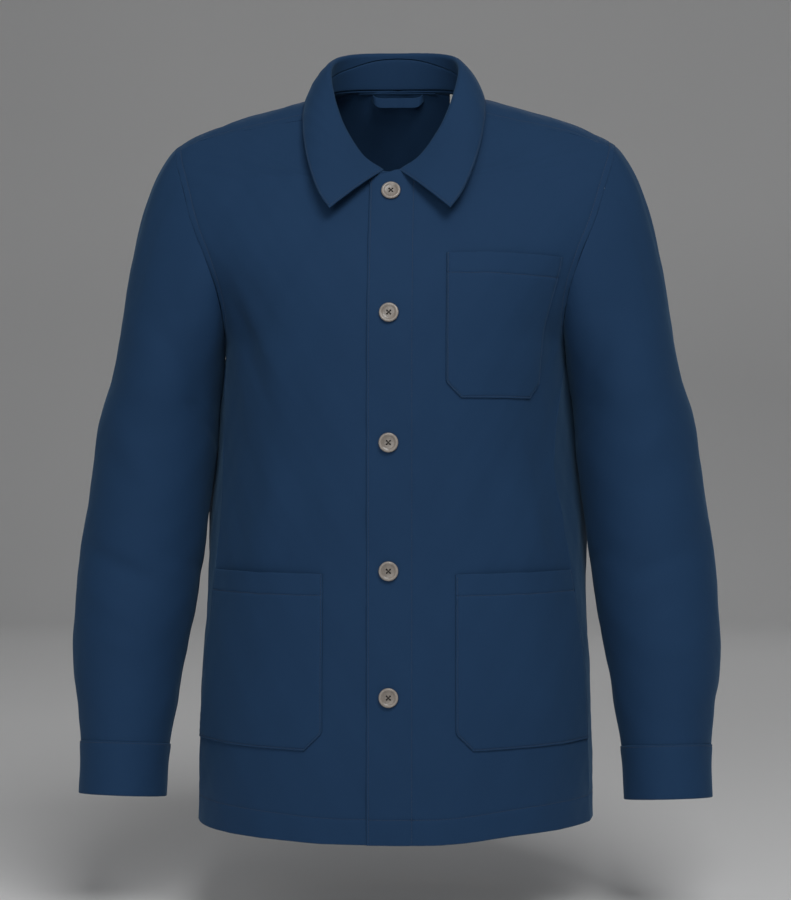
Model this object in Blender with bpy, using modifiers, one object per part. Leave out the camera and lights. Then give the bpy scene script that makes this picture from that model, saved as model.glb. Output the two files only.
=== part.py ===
"""Chore jacket in cotton drill, buttoned and worn, as a hollow garment on a general figure.

Metres, +Z up, the front faces -Y and the wearer's left is +X. The origin is at the base of the neck,
midway between the shoulders. Every piece of cloth is an open surface worked out from the tables
below, one smooth row of points after another, and is then given its wall on the inside.
"""

import math

import bmesh
import bpy
import numpy as np
from mathutils import Vector

# ---- Driving dimensions (metres) ----

JACKET = "chore_jacket"
WALL = 0.0018  # one layer of drill with its turnings
BAND_WALL = 0.0026  # a cuff band, two layers and interlining
SEAM_GAP = 0.0003
UNDERCUT = 0.0009  # how far a wall's inner edge stops short, so walls stay apart at a bent seam
HEM_Z = -0.709
ARMPIT_Z = -0.243
NECK_Z = -0.078  # the neck seam at the centre front
BACK_NECK_Z = 0.028
NECK_RUN = 0.1  # how far a row key runs along the neck seam, from the centre to the shoulder seam
SHOULDER_TURN = 78.0  # degrees round the neck, from the centre front to the shoulder seam
LAP = 0.0205  # how far each front passes the centre line
BAND_EDGE = 0.0215  # from the centre line to the facing's stitch line
HEM_RISE = {"left": 0.004, "right": 0.001}  # how much higher the hem hangs at each side seam
LAP_EASE = 0.034  # over which the upper front comes down from the lap to the body

BUTTON_RADIUS = 0.0092
BUTTON_THICK = 0.0032
BUTTON_HEIGHTS = (-0.0945, -0.2120, -0.3330, -0.4530, -0.5710)
BUTTON_LIFT = 0.0005  # between the lap's face and a button's flat back
BUTTON_HOLE_RADIUS = 0.00085
BUTTON_HOLE_OFFSET = 0.0016
BUTTON_SIDES = 16
HOLE_SIDES = 6
HOLE_CUTTER_LENGTH = 0.010
# The button's section, as shares of its radius and thickness, from the face's middle to the back's.
BUTTON_SECTION = (
    (0.00, 0.72),
    (0.62, 0.74),
    (0.80, 1.00),
    (0.93, 0.94),
    (1.00, 0.62),
    (0.94, 0.16),
    (0.80, 0.00),
    (0.00, 0.00),
)


def table(names, rows):
    """Columns of a short table, by name."""
    columns = np.array(rows, float).T
    return dict(zip(names.split(), columns))


def read(columns, key_name, name, key):
    """A column's value at a key, on a smooth curve through the table's rows."""
    keys = columns[key_name]
    values = columns[name]
    slopes = np.gradient(values, keys)
    key = min(max(key, keys[0]), keys[-1])
    row = min(int(np.searchsorted(keys, key, side="right")) - 1, len(keys) - 2)
    step = keys[row + 1] - keys[row]
    t = (key - keys[row]) / step
    rise = values[row + 1] - values[row]
    start = slopes[row] * step
    end = slopes[row + 1] * step
    return values[row] + start * t + (3 * rise - 2 * start - end) * t**2 + (start + end - 2 * rise) * t**3


# ---- Tables of the body ----

# The neck seam, by degrees round from the centre front, on the +X side.
NECK = table(
    "turn x y z",
    [
        (0, 0.000, -0.090, -0.078),
        (25, 0.031, -0.083, -0.069),
        (50, 0.056, -0.063, -0.044),
        (75, 0.069, -0.034, -0.012),
        (95, 0.072, -0.010, 0.008),
        (115, 0.067, 0.014, 0.018),
        (140, 0.049, 0.037, 0.025),
        (165, 0.021, 0.051, 0.0277),
        (180, 0.000, 0.054, 0.028),
    ],
)

# The centre lines and the widest points of the body, by height.
BODY = table(
    "level front back half_width",
    [
        (-0.709, 0.149, 0.140, 0.1965),
        (-0.680, 0.149, 0.139, 0.1963),
        (-0.620, 0.149, 0.137, 0.1955),
        (-0.550, 0.148, 0.134, 0.1935),
        (-0.500, 0.148, 0.132, 0.1905),
        (-0.450, 0.147, 0.130, 0.1855),
        (-0.400, 0.147, 0.129, 0.1780),
        (-0.350, 0.147, 0.130, 0.1725),
        (-0.300, 0.148, 0.134, 0.1705),
        (-0.243, 0.146, 0.139, 0.1700),
        (-0.200, 0.140, 0.141, 0.1700),
        (-0.160, 0.129, 0.139, 0.1700),
        (-0.120, 0.112, 0.133, 0.1700),
        (-0.078, 0.090, 0.119, 0.1700),
        (-0.030, 0.066, 0.094, 0.1700),
        (0.028, 0.036, 0.054, 0.1700),
    ],
)

# The side seams, by height: place, then the way the front and the back arrive, in degrees from +X.
SIDE_SEAM = {
    "left": table(
        "level x y front_turn back_turn",
        [
            (-0.709, 0.1920, -0.040, 68, 80),
            (-0.620, 0.1895, -0.045, 66, 79),
            (-0.540, 0.1850, -0.050, 63, 77),
            (-0.480, 0.1770, -0.056, 60, 75),
            (-0.415, 0.1665, -0.060, 56, 72),
            (-0.350, 0.1560, -0.064, 54, 70),
            (-0.306, 0.1600, -0.053, 60, 76),
            (-0.270, 0.1655, -0.033, 72, 84),
            (-0.243, 0.1690, -0.010, 84, 90),
        ],
    ),
    "right": table(
        "level x y front_turn back_turn",
        [
            (-0.709, 0.1930, -0.034, 72, 82),
            (-0.600, 0.1890, -0.042, 68, 80),
            (-0.500, 0.1785, -0.054, 62, 78),
            (-0.450, 0.1725, -0.056, 60, 77),
            (-0.400, 0.1695, -0.050, 62, 78),
            (-0.350, 0.1680, -0.042, 66, 80),
            (-0.300, 0.1685, -0.030, 73, 85),
            (-0.243, 0.1690, -0.010, 84, 90),
        ],
    ),
}

# The armhole's front and back edges, by row key: place, the way the body arrives (turn, dip), the way
# the sleeve leaves (fan, fall), how the row leaves the centre or neck, and its two handles.
ARMHOLE_COLUMNS = "key x y z turn dip fan fall start_dip lead land"
ARMHOLE = {
    "front": table(
        ARMHOLE_COLUMNS,
        [
            (-0.243, 0.1690, -0.010, -0.243, 84, 0, 0, 84, 0, 0.1014, 0.0843),
            (-0.215, 0.1665, -0.050, -0.217, 66, 0, -40, 72, 0, 0.100, 0.055),
            (-0.185, 0.1705, -0.072, -0.187, 48, 2, -25, 62, 0, 0.095, 0.045),
            (-0.150, 0.1815, -0.079, -0.153, 34, 5, -10, 54, 0, 0.090, 0.045),
            (-0.115, 0.1960, -0.070, -0.117, 24, 12, 0, 48, 0, 0.085, 0.050),
            (-0.078, 0.2050, -0.058, -0.088, 15, 22, 2, 45, 0, 0.080, 0.050),
            (-0.053, 0.2090, -0.051, -0.075, 10, 28, 2, 48, 3, 0.075, 0.050),
            (-0.028, 0.2125, -0.045, -0.064, 6, 32, 1, 48, 8, 0.065, 0.045),
            (-0.003, 0.2150, -0.039, -0.055, 3, 35, 0, 48, 13, 0.056, 0.042),
            (0.022, 0.2165, -0.033, -0.047, 0, 36, 0, 48, 16, 0.050, 0.040),
        ],
    ),
    "back": table(
        ARMHOLE_COLUMNS,
        [
            (-0.243, 0.1690, -0.010, -0.243, 90, 0, 0, 84, 0, 0.099, 0.108),
            (-0.210, 0.1750, 0.034, -0.212, 72, 0, 40, 72, 0, 0.105, 0.055),
            (-0.175, 0.1860, 0.062, -0.177, 52, 3, 25, 62, 0, 0.100, 0.045),
            (-0.135, 0.1970, 0.072, -0.139, 38, 8, 12, 54, 0, 0.090, 0.045),
            (-0.095, 0.2050, 0.067, -0.105, 27, 15, 4, 48, 0, 0.085, 0.050),
            (-0.055, 0.2105, 0.052, -0.077, 18, 23, 0, 45, 0, 0.080, 0.050),
            (-0.015, 0.2145, 0.034, -0.055, 11, 30, 0, 44, 0, 0.075, 0.050),
            (0.028, 0.2170, 0.014, -0.041, 5, 35, 0, 48, 2, 0.070, 0.050),
            (0.053, 0.2178, 0.002, -0.038, 3, 37, 0, 48, 10, 0.060, 0.045),
            (0.078, 0.2180, -0.010, -0.0385, 2, 37, 0, 43, 16, 0.055, 0.042),
            (0.103, 0.2175, -0.022, -0.042, 1, 37, 0, 48, 17, 0.052, 0.040),
            (0.128, 0.2165, -0.033, -0.047, 0, 36, 0, 48, 16, 0.050, 0.040),
        ],
    ),
}

# ---- Tables of the sleeve, collar and folds ----

# Rings of the sleeve, by height of their centres.
SLEEVE = table(
    "z x y half_width half_depth",
    [
        (-0.686, 0.2690, -0.034, 0.0420, 0.0465),
        (-0.640, 0.2675, -0.028, 0.0428, 0.0472),
        (-0.620, 0.2670, -0.025, 0.0450, 0.0490),
        (-0.592, 0.2668, -0.020, 0.0495, 0.0525),
        (-0.544, 0.2660, -0.012, 0.0560, 0.0580),
        (-0.496, 0.2610, -0.004, 0.0600, 0.0610),
        (-0.448, 0.2555, 0.002, 0.0613, 0.0630),
        (-0.400, 0.2490, 0.004, 0.0608, 0.0645),
        (-0.360, 0.2426, 0.005, 0.0600, 0.0660),
        (-0.320, 0.2360, 0.004, 0.0578, 0.0680),
        (-0.282, 0.2298, 0.002, 0.0543, 0.0710),
    ],
)
SLEEVE_TOP_Z = -0.282
CUFF_SEAM_Z = -0.630
CUFF_END_Z = -0.681
CUFF_PROUD = 0.0012  # how far the cuff band stands outside the sleeve it is sewn to

# The collar, by degrees round the neck: the stand's height and lean, how far the fall rises over it
# before it rolls, the roll's radius and the fall's outer edge.
COLLAR = table(
    "turn height lean over roll edge_x edge_y edge_z",
    [
        (6, 0.0012, 0.0000, 0.0000, 0.0022, 0.0570, -0.1225, -0.1110),
        (20, 0.0075, 0.0015, 0.0005, 0.0026, 0.0660, -0.1155, -0.0985),
        (35, 0.0130, 0.0035, 0.0030, 0.0030, 0.0748, -0.1030, -0.0800),
        (50, 0.0160, 0.0045, 0.0055, 0.0033, 0.0825, -0.0840, -0.0570),
        (65, 0.0175, 0.0045, 0.0075, 0.0033, 0.0880, -0.0600, -0.0320),
        (80, 0.0180, 0.0045, 0.0090, 0.0033, 0.0905, -0.0330, -0.0075),
        (95, 0.0180, 0.0045, 0.0100, 0.0033, 0.0890, -0.0020, 0.0130),
        (115, 0.0185, 0.0045, 0.0105, 0.0033, 0.0795, 0.0360, 0.0210),
        (140, 0.0225, 0.0050, 0.0075, 0.0033, 0.0560, 0.0660, 0.0190),
        (165, 0.0290, 0.0065, 0.0015, 0.0033, 0.0235, 0.0810, 0.0145),
        (180, 0.0305, 0.0070, 0.0000, 0.0033, 0.0000, 0.0840, 0.0130),
    ],
)
COLLAR_START = 6.0

# Large soft folds: the panel, its centre (across and height), the slant of its length from upright in
# degrees, its half width and half length, and how far it stands out (or sinks in).
FOLD_COLUMNS = "across height slant width length depth"
FOLDS = {
    "front_left": table(
        FOLD_COLUMNS,
        [
            (0.186, -0.235, 12, 0.013, 0.035, -0.0022),
            (0.150, -0.390, -8, 0.020, 0.080, 0.0026),
            (0.100, -0.420, -6, 0.024, 0.130, -0.0018),
            (0.060, -0.640, 4, 0.026, 0.120, 0.0018),
        ],
    ),
    "front_right": table(
        FOLD_COLUMNS,
        [
            (0.160, -0.210, 24, 0.011, 0.055, -0.0032),
            (0.135, -0.225, 32, 0.014, 0.060, 0.0024),
            (0.120, -0.360, -5, 0.022, 0.120, 0.0020),
            (0.080, -0.430, 5, 0.024, 0.120, -0.0018),
            (0.070, -0.640, -4, 0.026, 0.120, 0.0016),
        ],
    ),
    "back": table(
        FOLD_COLUMNS,
        [
            (-0.150, -0.230, -28, 0.014, 0.070, -0.0034),
            (0.150, -0.235, 28, 0.014, 0.070, -0.0034),
            (-0.110, -0.300, -24, 0.018, 0.090, 0.0030),
            (0.115, -0.310, 26, 0.018, 0.090, 0.0030),
            (-0.060, -0.480, -7, 0.024, 0.150, 0.0032),
            (0.070, -0.500, 6, 0.024, 0.160, 0.0030),
            (0.005, -0.560, 2, 0.026, 0.150, -0.0030),
            (-0.140, -0.600, 4, 0.022, 0.110, -0.0026),
            (0.150, -0.610, -4, 0.022, 0.110, -0.0026),
        ],
    ),
}
# Folds of a sleeve: round is in degrees from the inner side by way of the front.
SLEEVE_FOLD_COLUMNS = "round height slant width length depth"
SLEEVE_FOLDS = {
    "left": table(
        SLEEVE_FOLD_COLUMNS,
        [
            (60, -0.265, 50, 0.012, 0.050, -0.0030),
            (95, -0.340, 40, 0.014, 0.055, 0.0020),
            (100, -0.455, 70, 0.012, 0.045, -0.0024),
            (70, -0.480, 62, 0.012, 0.045, 0.0018),
            (265, -0.430, -66, 0.014, 0.050, 0.0026),
            (290, -0.465, -60, 0.012, 0.050, -0.0028),
            (250, -0.300, -45, 0.014, 0.060, 0.0024),
            (170, -0.590, 60, 0.012, 0.040, -0.0016),
        ],
    ),
    "right": table(
        SLEEVE_FOLD_COLUMNS,
        [
            (62, -0.260, 46, 0.012, 0.055, -0.0032),
            (100, -0.350, 36, 0.015, 0.060, 0.0018),
            (85, -0.470, 66, 0.012, 0.045, -0.0022),
            (110, -0.500, 60, 0.012, 0.040, 0.0016),
            (275, -0.440, -62, 0.014, 0.050, 0.0028),
            (300, -0.480, -56, 0.012, 0.050, -0.0026),
            (255, -0.320, -40, 0.015, 0.060, 0.0022),
            (180, -0.585, 58, 0.012, 0.040, -0.0014),
        ],
    ),
}

# Patch pockets, by distance across from the centre line and height, on a front.
POCKET_WALL = 0.0018
POCKET_LIFT = 0.0008  # between the panel's face and the pocket's back, over the folds between
POCKETS = {
    "chest_pocket": dict(
        panel="left", inner=0.0535, outer=0.1700, foot_outer=0.1610, top=-0.1540, bottom=-0.2910,
        corner=0.0150, outer_corner=0.0150, gape=0.0015,
    ),
    "pocket_left": dict(
        panel="left", inner=0.0625, outer=None, foot_outer=None, top=-0.4560, bottom=-0.6220,
        corner=0.0170, outer_corner=0.0, gape=0.0030,
    ),
    "pocket_right": dict(
        panel="right", inner=0.0625, outer=None, foot_outer=None, top=-0.4560, bottom=-0.6220,
        corner=0.0170, outer_corner=0.0, gape=0.0042,
    ),
}
POCKET_SIDE_MARGIN = 0.0015  # from the side seam to a lower pocket's outer edge

# ---- Curves and rows ----

ROW_SAMPLES = 60
NECK_STEP = 2.0  # degrees round the neck over which its direction is taken
NORMAL_STEP = 0.004  # over which a panel's way out is taken
FRONT_LEAD = 0.60  # a front row's first handle, as a share of the half width
FRONT_LAND = 0.62  # and its second, as a share of the depth
BACK_ROUND = 0.58  # both handles of the back's quarter round, as a share of its half sizes
SEAM_TURN_IN = 0.4  # handles of the back's run from its widest point to the side seam
FOLD_FADE = 0.05  # from a panel's edge, over which its folds die out
HEM_FADE = 0.12  # above the hem, over which its rise dies out
WIDEST_Y = 0.008  # the depth at which the back is widest


def direction(turn, dip):
    """Unit vector at a turn from +X towards +Y, dipping below the level."""
    turn = math.radians(turn)
    dip = math.radians(dip)
    return np.array([math.cos(turn) * math.cos(dip), math.sin(turn) * math.cos(dip), -math.sin(dip)])


def bezier(start, start_handle, end_handle, end, samples=ROW_SAMPLES):
    """Points along a cubic from start to end."""
    t = np.linspace(0.0, 1.0, samples)[:, None]
    return (
        start * (1 - t) ** 3
        + start_handle * 3 * t * (1 - t) ** 2
        + end_handle * 3 * t**2 * (1 - t)
        + end * t**3
    )


def distances(points):
    """Distance along a row of points, from its start."""
    steps = np.linalg.norm(np.diff(points, axis=0), axis=1)
    return np.concatenate([[0.0], np.cumsum(steps)])


def neck_point(turn):
    """A point of the neck seam on the +X side, by degrees round from the centre front."""
    return np.array([read(NECK, "turn", axis, turn) for axis in "xyz"])


def neck_way(turn):
    """The way the neck seam runs on the +X side, towards the centre back."""
    ahead = neck_point(min(turn + NECK_STEP, 180.0))
    behind = neck_point(turn - NECK_STEP)
    return ahead - behind


def front_start(key):
    """Where a front's row leaves the centre line or, above it, the neck seam."""
    if key <= NECK_Z:
        return np.array([0.0, -read(BODY, "level", "front", key), key])
    return neck_point(SHOULDER_TURN * (key - NECK_Z) / NECK_RUN)


def back_start(key):
    """Where the back's row leaves the centre line or, above it, the neck seam."""
    if key <= BACK_NECK_Z:
        return np.array([0.0, read(BODY, "level", "back", key), key])
    share = (key - BACK_NECK_Z) / NECK_RUN
    return neck_point(180.0 - (180.0 - SHOULDER_TURN) * share)


def front_row(side, key):
    """A front's row from the centre line to the side seam or armhole, on the +X side."""
    start = front_start(key)
    if key <= ARMPIT_Z:
        seam = SIDE_SEAM[side]
        end = np.array([read(seam, "level", "x", key), read(seam, "level", "y", key), key])
        turn = read(seam, "level", "front_turn", key)
        arrive = direction(turn, 0.0)
        lead = FRONT_LEAD * end[0]
        reach = FRONT_LAND * (end[1] - start[1])
        return bezier(start, start + [lead, 0, 0], end - arrive * reach, end)
    edge = ARMHOLE["front"]
    end = np.array([read(edge, "key", axis, key) for axis in "xyz"])
    arrive = direction(read(edge, "key", "turn", key), read(edge, "key", "dip", key))
    leave = direction(0.0, read(edge, "key", "start_dip", key))
    lead = read(edge, "key", "lead", key)
    land = read(edge, "key", "land", key)
    return bezier(start, start + leave * lead, end - arrive * land, end)


def back_row(side, key):
    """The back's row from the centre line to the side seam or armhole, on the +X side."""
    start = back_start(key)
    if key <= ARMPIT_Z:
        seam = SIDE_SEAM[side]
        end = np.array([read(seam, "level", "x", key), read(seam, "level", "y", key), key])
        turn = read(seam, "level", "back_turn", key)
        half_width = read(BODY, "level", "half_width", key)
        widest = np.array([half_width, WIDEST_Y, key])
        round_back = bezier(
            start,
            start + [half_width * BACK_ROUND, 0, 0],
            widest + [0, (start[1] - widest[1]) * BACK_ROUND, 0],
            widest,
        )
        handle = np.linalg.norm(widest - end) * SEAM_TURN_IN
        to_seam = bezier(widest, widest - [0, handle, 0], end + direction(turn, 0.0) * handle, end)
        return np.concatenate([round_back[:-1], to_seam])
    edge = ARMHOLE["back"]
    end = np.array([read(edge, "key", axis, key) for axis in "xyz"])
    arrive = direction(-read(edge, "key", "turn", key), read(edge, "key", "dip", key))
    leave = direction(0.0, read(edge, "key", "start_dip", key))
    lead = read(edge, "key", "lead", key)
    land = read(edge, "key", "land", key)
    return bezier(start, start + leave * lead, end - arrive * land, end)


def fold_height(folds, across, height):
    """How far the folds of a panel stand out at a place on it."""
    total = 0.0
    for i in range(len(folds["across"])):
        slant = math.radians(folds["slant"][i])
        dx = across - folds["across"][i]
        dz = height - folds["height"][i]
        along = dz * math.cos(slant) + dx * math.sin(slant)
        beside = dx * math.cos(slant) - dz * math.sin(slant)
        shape = (beside / folds["width"][i]) ** 2 + (along / folds["length"][i]) ** 2
        total += folds["depth"][i] * math.exp(-shape)
    return total


def smoothstep(low, high, value):
    """0 below low, 1 above high, and smooth between."""
    t = min(max((value - low) / (high - low), 0.0), 1.0)
    return t * t * (3 - 2 * t)


class Panel:
    """A body panel's outer face: a point for each distance across and row key."""

    def __init__(self, name, side, row, folds, lap_lift=0.0):
        self.name = name
        self.side = side
        self.row = row
        self.folds = folds
        self.lap_lift = lap_lift
        self.rows = {}

    def measured_row(self, key):
        """A row's points and their distances, kept because many places share a row."""
        mark = round(key, 6)
        if mark not in self.rows:
            points = self.row(self.side, key)
            self.rows[mark] = (points, distances(points))
        return self.rows[mark]

    def length(self, key):
        return self.measured_row(key)[1][-1]

    def smooth_point(self, across, key):
        """A point before folds, where a distance below 0 is past the centre line."""
        points, along = self.measured_row(key)
        spot = np.array([np.interp(abs(across), along, points[:, i]) for i in range(3)])
        hem_share = 1 - smoothstep(HEM_Z, HEM_Z + HEM_FADE, key)
        spot[2] += HEM_RISE[self.side] * hem_share * smoothstep(0.04, 0.14, spot[0])
        if across < 0:
            spot[0] = -spot[0]
        return spot

    def normal(self, across, key):
        """The way out of the cloth, from the neighbouring points."""
        step = NORMAL_STEP
        length = self.length(key)
        low = min(across - step, length - 2 * step)
        key_low = max(key - step, HEM_Z)
        sideways = self.smooth_point(low + 2 * step, key) - self.smooth_point(low, key)
        share = across / length
        below = self.smooth_point(share * self.length(key_low), key_low)
        above = self.smooth_point(share * self.length(key_low + step), key_low + step)
        out = np.cross(sideways, above - below)
        if self.row is back_row:
            out = -out
        return out / np.linalg.norm(out)

    def point(self, across, key, lift=0.0):
        """A point on the folded outer face, moved out by a lift."""
        spot = self.smooth_point(across, key)
        to_edge = self.length(key) - across
        height = fold_height(self.folds, across, key) * smoothstep(0.0, FOLD_FADE, to_edge)
        if self.row is front_row:
            height *= smoothstep(BAND_EDGE, BAND_EDGE + 0.03, across)
            height += self.lap_lift * (1 - smoothstep(BAND_EDGE, BAND_EDGE + LAP_EASE, across))
        return spot + self.normal(across, key) * (height + lift)


def mirrored(points):
    """The same points on the wearer's right."""
    return np.asarray(points) * [-1.0, 1.0, 1.0]


# ---- Making meshes ----


def collect(name):
    """A new collection in the scene."""
    group = bpy.data.collections.new(name)
    bpy.context.scene.collection.children.link(group)
    return group


def material(name, colour, roughness, metallic=0.0):
    """A plain Principled material."""
    made = bpy.data.materials.new(name)
    made.use_nodes = True
    shader = made.node_tree.nodes["Principled BSDF"]
    shader.inputs["Base Color"].default_value = (*colour, 1.0)
    shader.inputs["Roughness"].default_value = roughness
    shader.inputs["Metallic"].default_value = metallic
    return made


def add_object(group, name, mesh, finish):
    """An object in the jacket's collection, with its material."""
    item = bpy.data.objects.new(name, mesh)
    group.objects.link(item)
    mesh.materials.append(finish)
    return item


def wall_up(shape, wall):
    """Give an open surface its wall: an inner face, a little smaller, and a rim round each edge."""
    shape.normal_update()
    faces = list(shape.faces)
    edges = [edge for edge in shape.edges if edge.is_boundary]
    border = {vert for edge in edges for vert in edge.verts}
    inner = {}
    for vert in list(shape.verts):
        place = vert.co - vert.normal * wall
        if vert in border:
            middle = sum((face.calc_center_median() for face in vert.link_faces), Vector())
            inward = middle / len(vert.link_faces) - vert.co
            inward -= vert.normal * inward.dot(vert.normal)
            place += inward.normalized() * UNDERCUT
        inner[vert] = place
    rims = [(edge.link_loops[0].vert, edge.link_loops[0].link_loop_next.vert) for edge in edges]
    inner = {vert: shape.verts.new(place) for vert, place in inner.items()}
    for face in faces:
        shape.faces.new([inner[vert] for vert in reversed(face.verts)])
    for first, second in rims:
        shape.faces.new([second, first, inner[first], inner[second]])


def cloth(group, name, grids, wall, finish, closed=False, flip=False):
    """A piece of cloth: a surface through grids of points that share edges, and its wall.

    A closed grid joins its ends, and a flipped one has its points the other way round.
    """
    shape = bmesh.new()
    for grid in grids:
        corners = [[shape.verts.new(point) for point in row] for row in grid]
        columns = len(corners[0])
        last = columns if closed else columns - 1
        for low, high in zip(corners[:-1], corners[1:]):
            for i in range(last):
                j = (i + 1) % columns
                loop = [low[i], low[j], high[j], high[i]]
                shape.faces.new(loop[::-1] if flip else loop)
    bmesh.ops.remove_doubles(shape, verts=shape.verts, dist=0.00001)
    wall_up(shape, wall)
    mesh = bpy.data.meshes.new(name)
    shape.to_mesh(mesh)
    shape.free()
    mesh.shade_smooth()
    mesh.set_sharp_from_angle(angle=math.radians(50))
    return add_object(group, name, mesh, finish)


# ---- Body panels ----

SIDE_ROWS = 17
FRONT_CHEST_ROWS = 6
BACK_CHEST_ROWS = 8
NECK_ROWS = 5
FRONT_COLUMNS = 15
BAND_COLUMNS = 2
BACK_COLUMNS = 11


def keys_between(low, high, count):
    return [low + (high - low) * i / (count - 1) for i in range(count)]


def side_keys():
    """Row keys from the hem to the armpit, the same for the fronts and the back."""
    return keys_between(HEM_Z, ARMPIT_Z, SIDE_ROWS + 1)


def front_upper_keys():
    """Row keys of a front from the armpit to the shoulder seam."""
    chest = keys_between(ARMPIT_Z, NECK_Z, FRONT_CHEST_ROWS + 1)
    return chest + keys_between(NECK_Z, NECK_Z + NECK_RUN, NECK_ROWS + 1)[1:]


def back_upper_keys():
    """Row keys of the back from the armpit to the shoulder seam."""
    chest = keys_between(ARMPIT_Z, BACK_NECK_Z, BACK_CHEST_ROWS + 1)
    return chest + keys_between(BACK_NECK_Z, BACK_NECK_Z + NECK_RUN, NECK_ROWS + 1)[1:]


def seam_inset(key, top):
    """A row key held half a seam gap inside the panel's top edge."""
    return min(key, top - SEAM_GAP)


def front_grids(panel, flip_side):
    """The facing band and the rest of a front, which share the stitch line's points."""
    band = []
    main = []
    top = NECK_Z + NECK_RUN
    for key in side_keys()[:-1] + front_upper_keys():
        key = seam_inset(key, top)
        edge = panel.length(key) - SEAM_GAP / 2
        if key <= NECK_Z:
            spots = keys_between(-LAP, BAND_EDGE, BAND_COLUMNS + 1)
            band.append([panel.point(across, key) for across in spots])
            start = BAND_EDGE
        else:
            start = SEAM_GAP
        main.append([panel.point(across, key) for across in keys_between(start, edge, FRONT_COLUMNS)])
    grids = [band, main]
    if flip_side:
        grids = [[mirrored(row) for row in grid] for grid in grids]
    return grids


def build_front(group, panel, finish):
    right = panel.side == "right"
    return cloth(group, panel.name, front_grids(panel, right), WALL, finish, flip=right)


def build_back(group, panels, finish):
    """The back as three grids: the whole width up to the neck, then a shoulder on each side."""
    rows = {"left": [], "right": []}
    for side, panel in panels.items():
        for key in side_keys()[:-1] + back_upper_keys():
            key = seam_inset(key, BACK_NECK_Z + NECK_RUN)
            start = SEAM_GAP if key > BACK_NECK_Z else 0.0
            edge = panel.length(key) - SEAM_GAP / 2
            spots = keys_between(start, edge, BACK_COLUMNS)
            line = np.array([panel.point(across, key) for across in spots])
            rows[side].append(mirrored(line) if side == "right" else line)
    shape = [rows["left"], [row[::-1] for row in rows["right"]]]
    return cloth(group, "back", shape, WALL, finish, flip=True)


# ---- Sleeves and cuffs ----

CAP_LEAVE = 0.24  # the cap's two handles, as shares of the way from the armhole to the arm
CAP_LAND = 0.38
FOLD_GIRTH = 0.06  # the radius on which a sleeve's folds are measured round it
CUFF_FADE = 0.03  # above the cuff, over which a sleeve's folds die out
CUFF_GAP = 0.0001  # more than this, because both rims are undercut
AXIS_STEP = 0.01  # over which the way the arm runs is taken
CAP_ROWS = 7
ARM_ROWS = 11
CUFF_ROWS = 4


def armhole_loop():
    """The armhole's points on the +X side, from the armpit by the front and the back again, with the
    way the sleeve leaves each and its degrees round the sleeve."""
    spots = []
    ways = []
    for half, keys in (("front", front_upper_keys()), ("back", back_upper_keys()[-2:0:-1])):
        edge = ARMHOLE[half]
        for key in keys:
            spots.append([read(edge, "key", axis, key) for axis in "xyz"])
            ways.append(direction(read(edge, "key", "fan", key), read(edge, "key", "fall", key)))
    along = distances(np.array(spots + spots[:1]))
    turns = 360.0 * along[:-1] / along[-1]
    return list(zip(np.array(spots), np.array(ways), turns))


def sleeve_ring(z, turn, proud=0.0):
    """A point of a sleeve's ring by its centre height and degrees round from the inner side."""
    centre = np.array([read(SLEEVE, "z", "x", z), read(SLEEVE, "z", "y", z), z])
    low = max(z - AXIS_STEP, SLEEVE["z"][0])
    high = min(z + AXIS_STEP, SLEEVE["z"][-1])
    axis = np.array(
        [
            read(SLEEVE, "z", "x", low) - read(SLEEVE, "z", "x", high),
            read(SLEEVE, "z", "y", low) - read(SLEEVE, "z", "y", high),
            low - high,
        ]
    )
    axis /= np.linalg.norm(axis)
    outer = np.array([-axis[2], 0.0, axis[0]])
    outer /= np.linalg.norm(outer)
    back = np.cross(outer, axis)
    turn = math.radians(turn)
    half_width = read(SLEEVE, "z", "half_width", z) + proud
    half_depth = read(SLEEVE, "z", "half_depth", z) + proud
    out = -math.cos(turn) * half_width * outer - math.sin(turn) * half_depth * back
    return centre + out, out / np.linalg.norm(out), axis


def sleeve_folds(side, turn, z):
    """How far a sleeve's folds stand out at a place on it."""
    folds = SLEEVE_FOLDS[side]
    total = 0.0
    for i in range(len(folds["round"])):
        away = (turn - folds["round"][i] + 180.0) % 360.0 - 180.0
        across = math.radians(away) * FOLD_GIRTH
        slant = math.radians(folds["slant"][i])
        dz = z - folds["height"][i]
        along = dz * math.cos(slant) + across * math.sin(slant)
        beside = across * math.cos(slant) - dz * math.sin(slant)
        shape = (beside / folds["width"][i]) ** 2 + (along / folds["length"][i]) ** 2
        total += folds["depth"][i] * math.exp(-shape)
    return total


def sleeve_grid(side):
    """Rings of a sleeve from the armhole to the cuff's seam, on the +X side."""
    loop = armhole_loop()
    grid = []
    for row in range(CAP_ROWS):
        t = row / CAP_ROWS
        ring = []
        for spot, way, turn in loop:
            end, out, axis = sleeve_ring(SLEEVE_TOP_Z, turn)
            reach = np.linalg.norm(end - spot)
            first = spot + way * SEAM_GAP
            handle = first + way * reach * CAP_LEAVE
            back_handle = end - axis * reach * CAP_LAND
            place = (
                first * (1 - t) ** 3
                + handle * 3 * t * (1 - t) ** 2
                + back_handle * 3 * t**2 * (1 - t)
                + end * t**3
            )
            ring.append(place + out * sleeve_folds(side, turn, place[2]) * smoothstep(0.0, 0.5, t))
        grid.append(ring)
    for row in range(ARM_ROWS):
        z = SLEEVE_TOP_Z + (CUFF_SEAM_Z - SLEEVE_TOP_Z) * row / (ARM_ROWS - 1)
        fade = smoothstep(CUFF_SEAM_Z, CUFF_SEAM_Z + CUFF_FADE, z)
        ring = []
        for _, _, turn in loop:
            place, out, axis = sleeve_ring(z, turn)
            ring.append(place + out * sleeve_folds(side, turn, z) * fade)
        grid.append(ring)
    return grid


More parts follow.
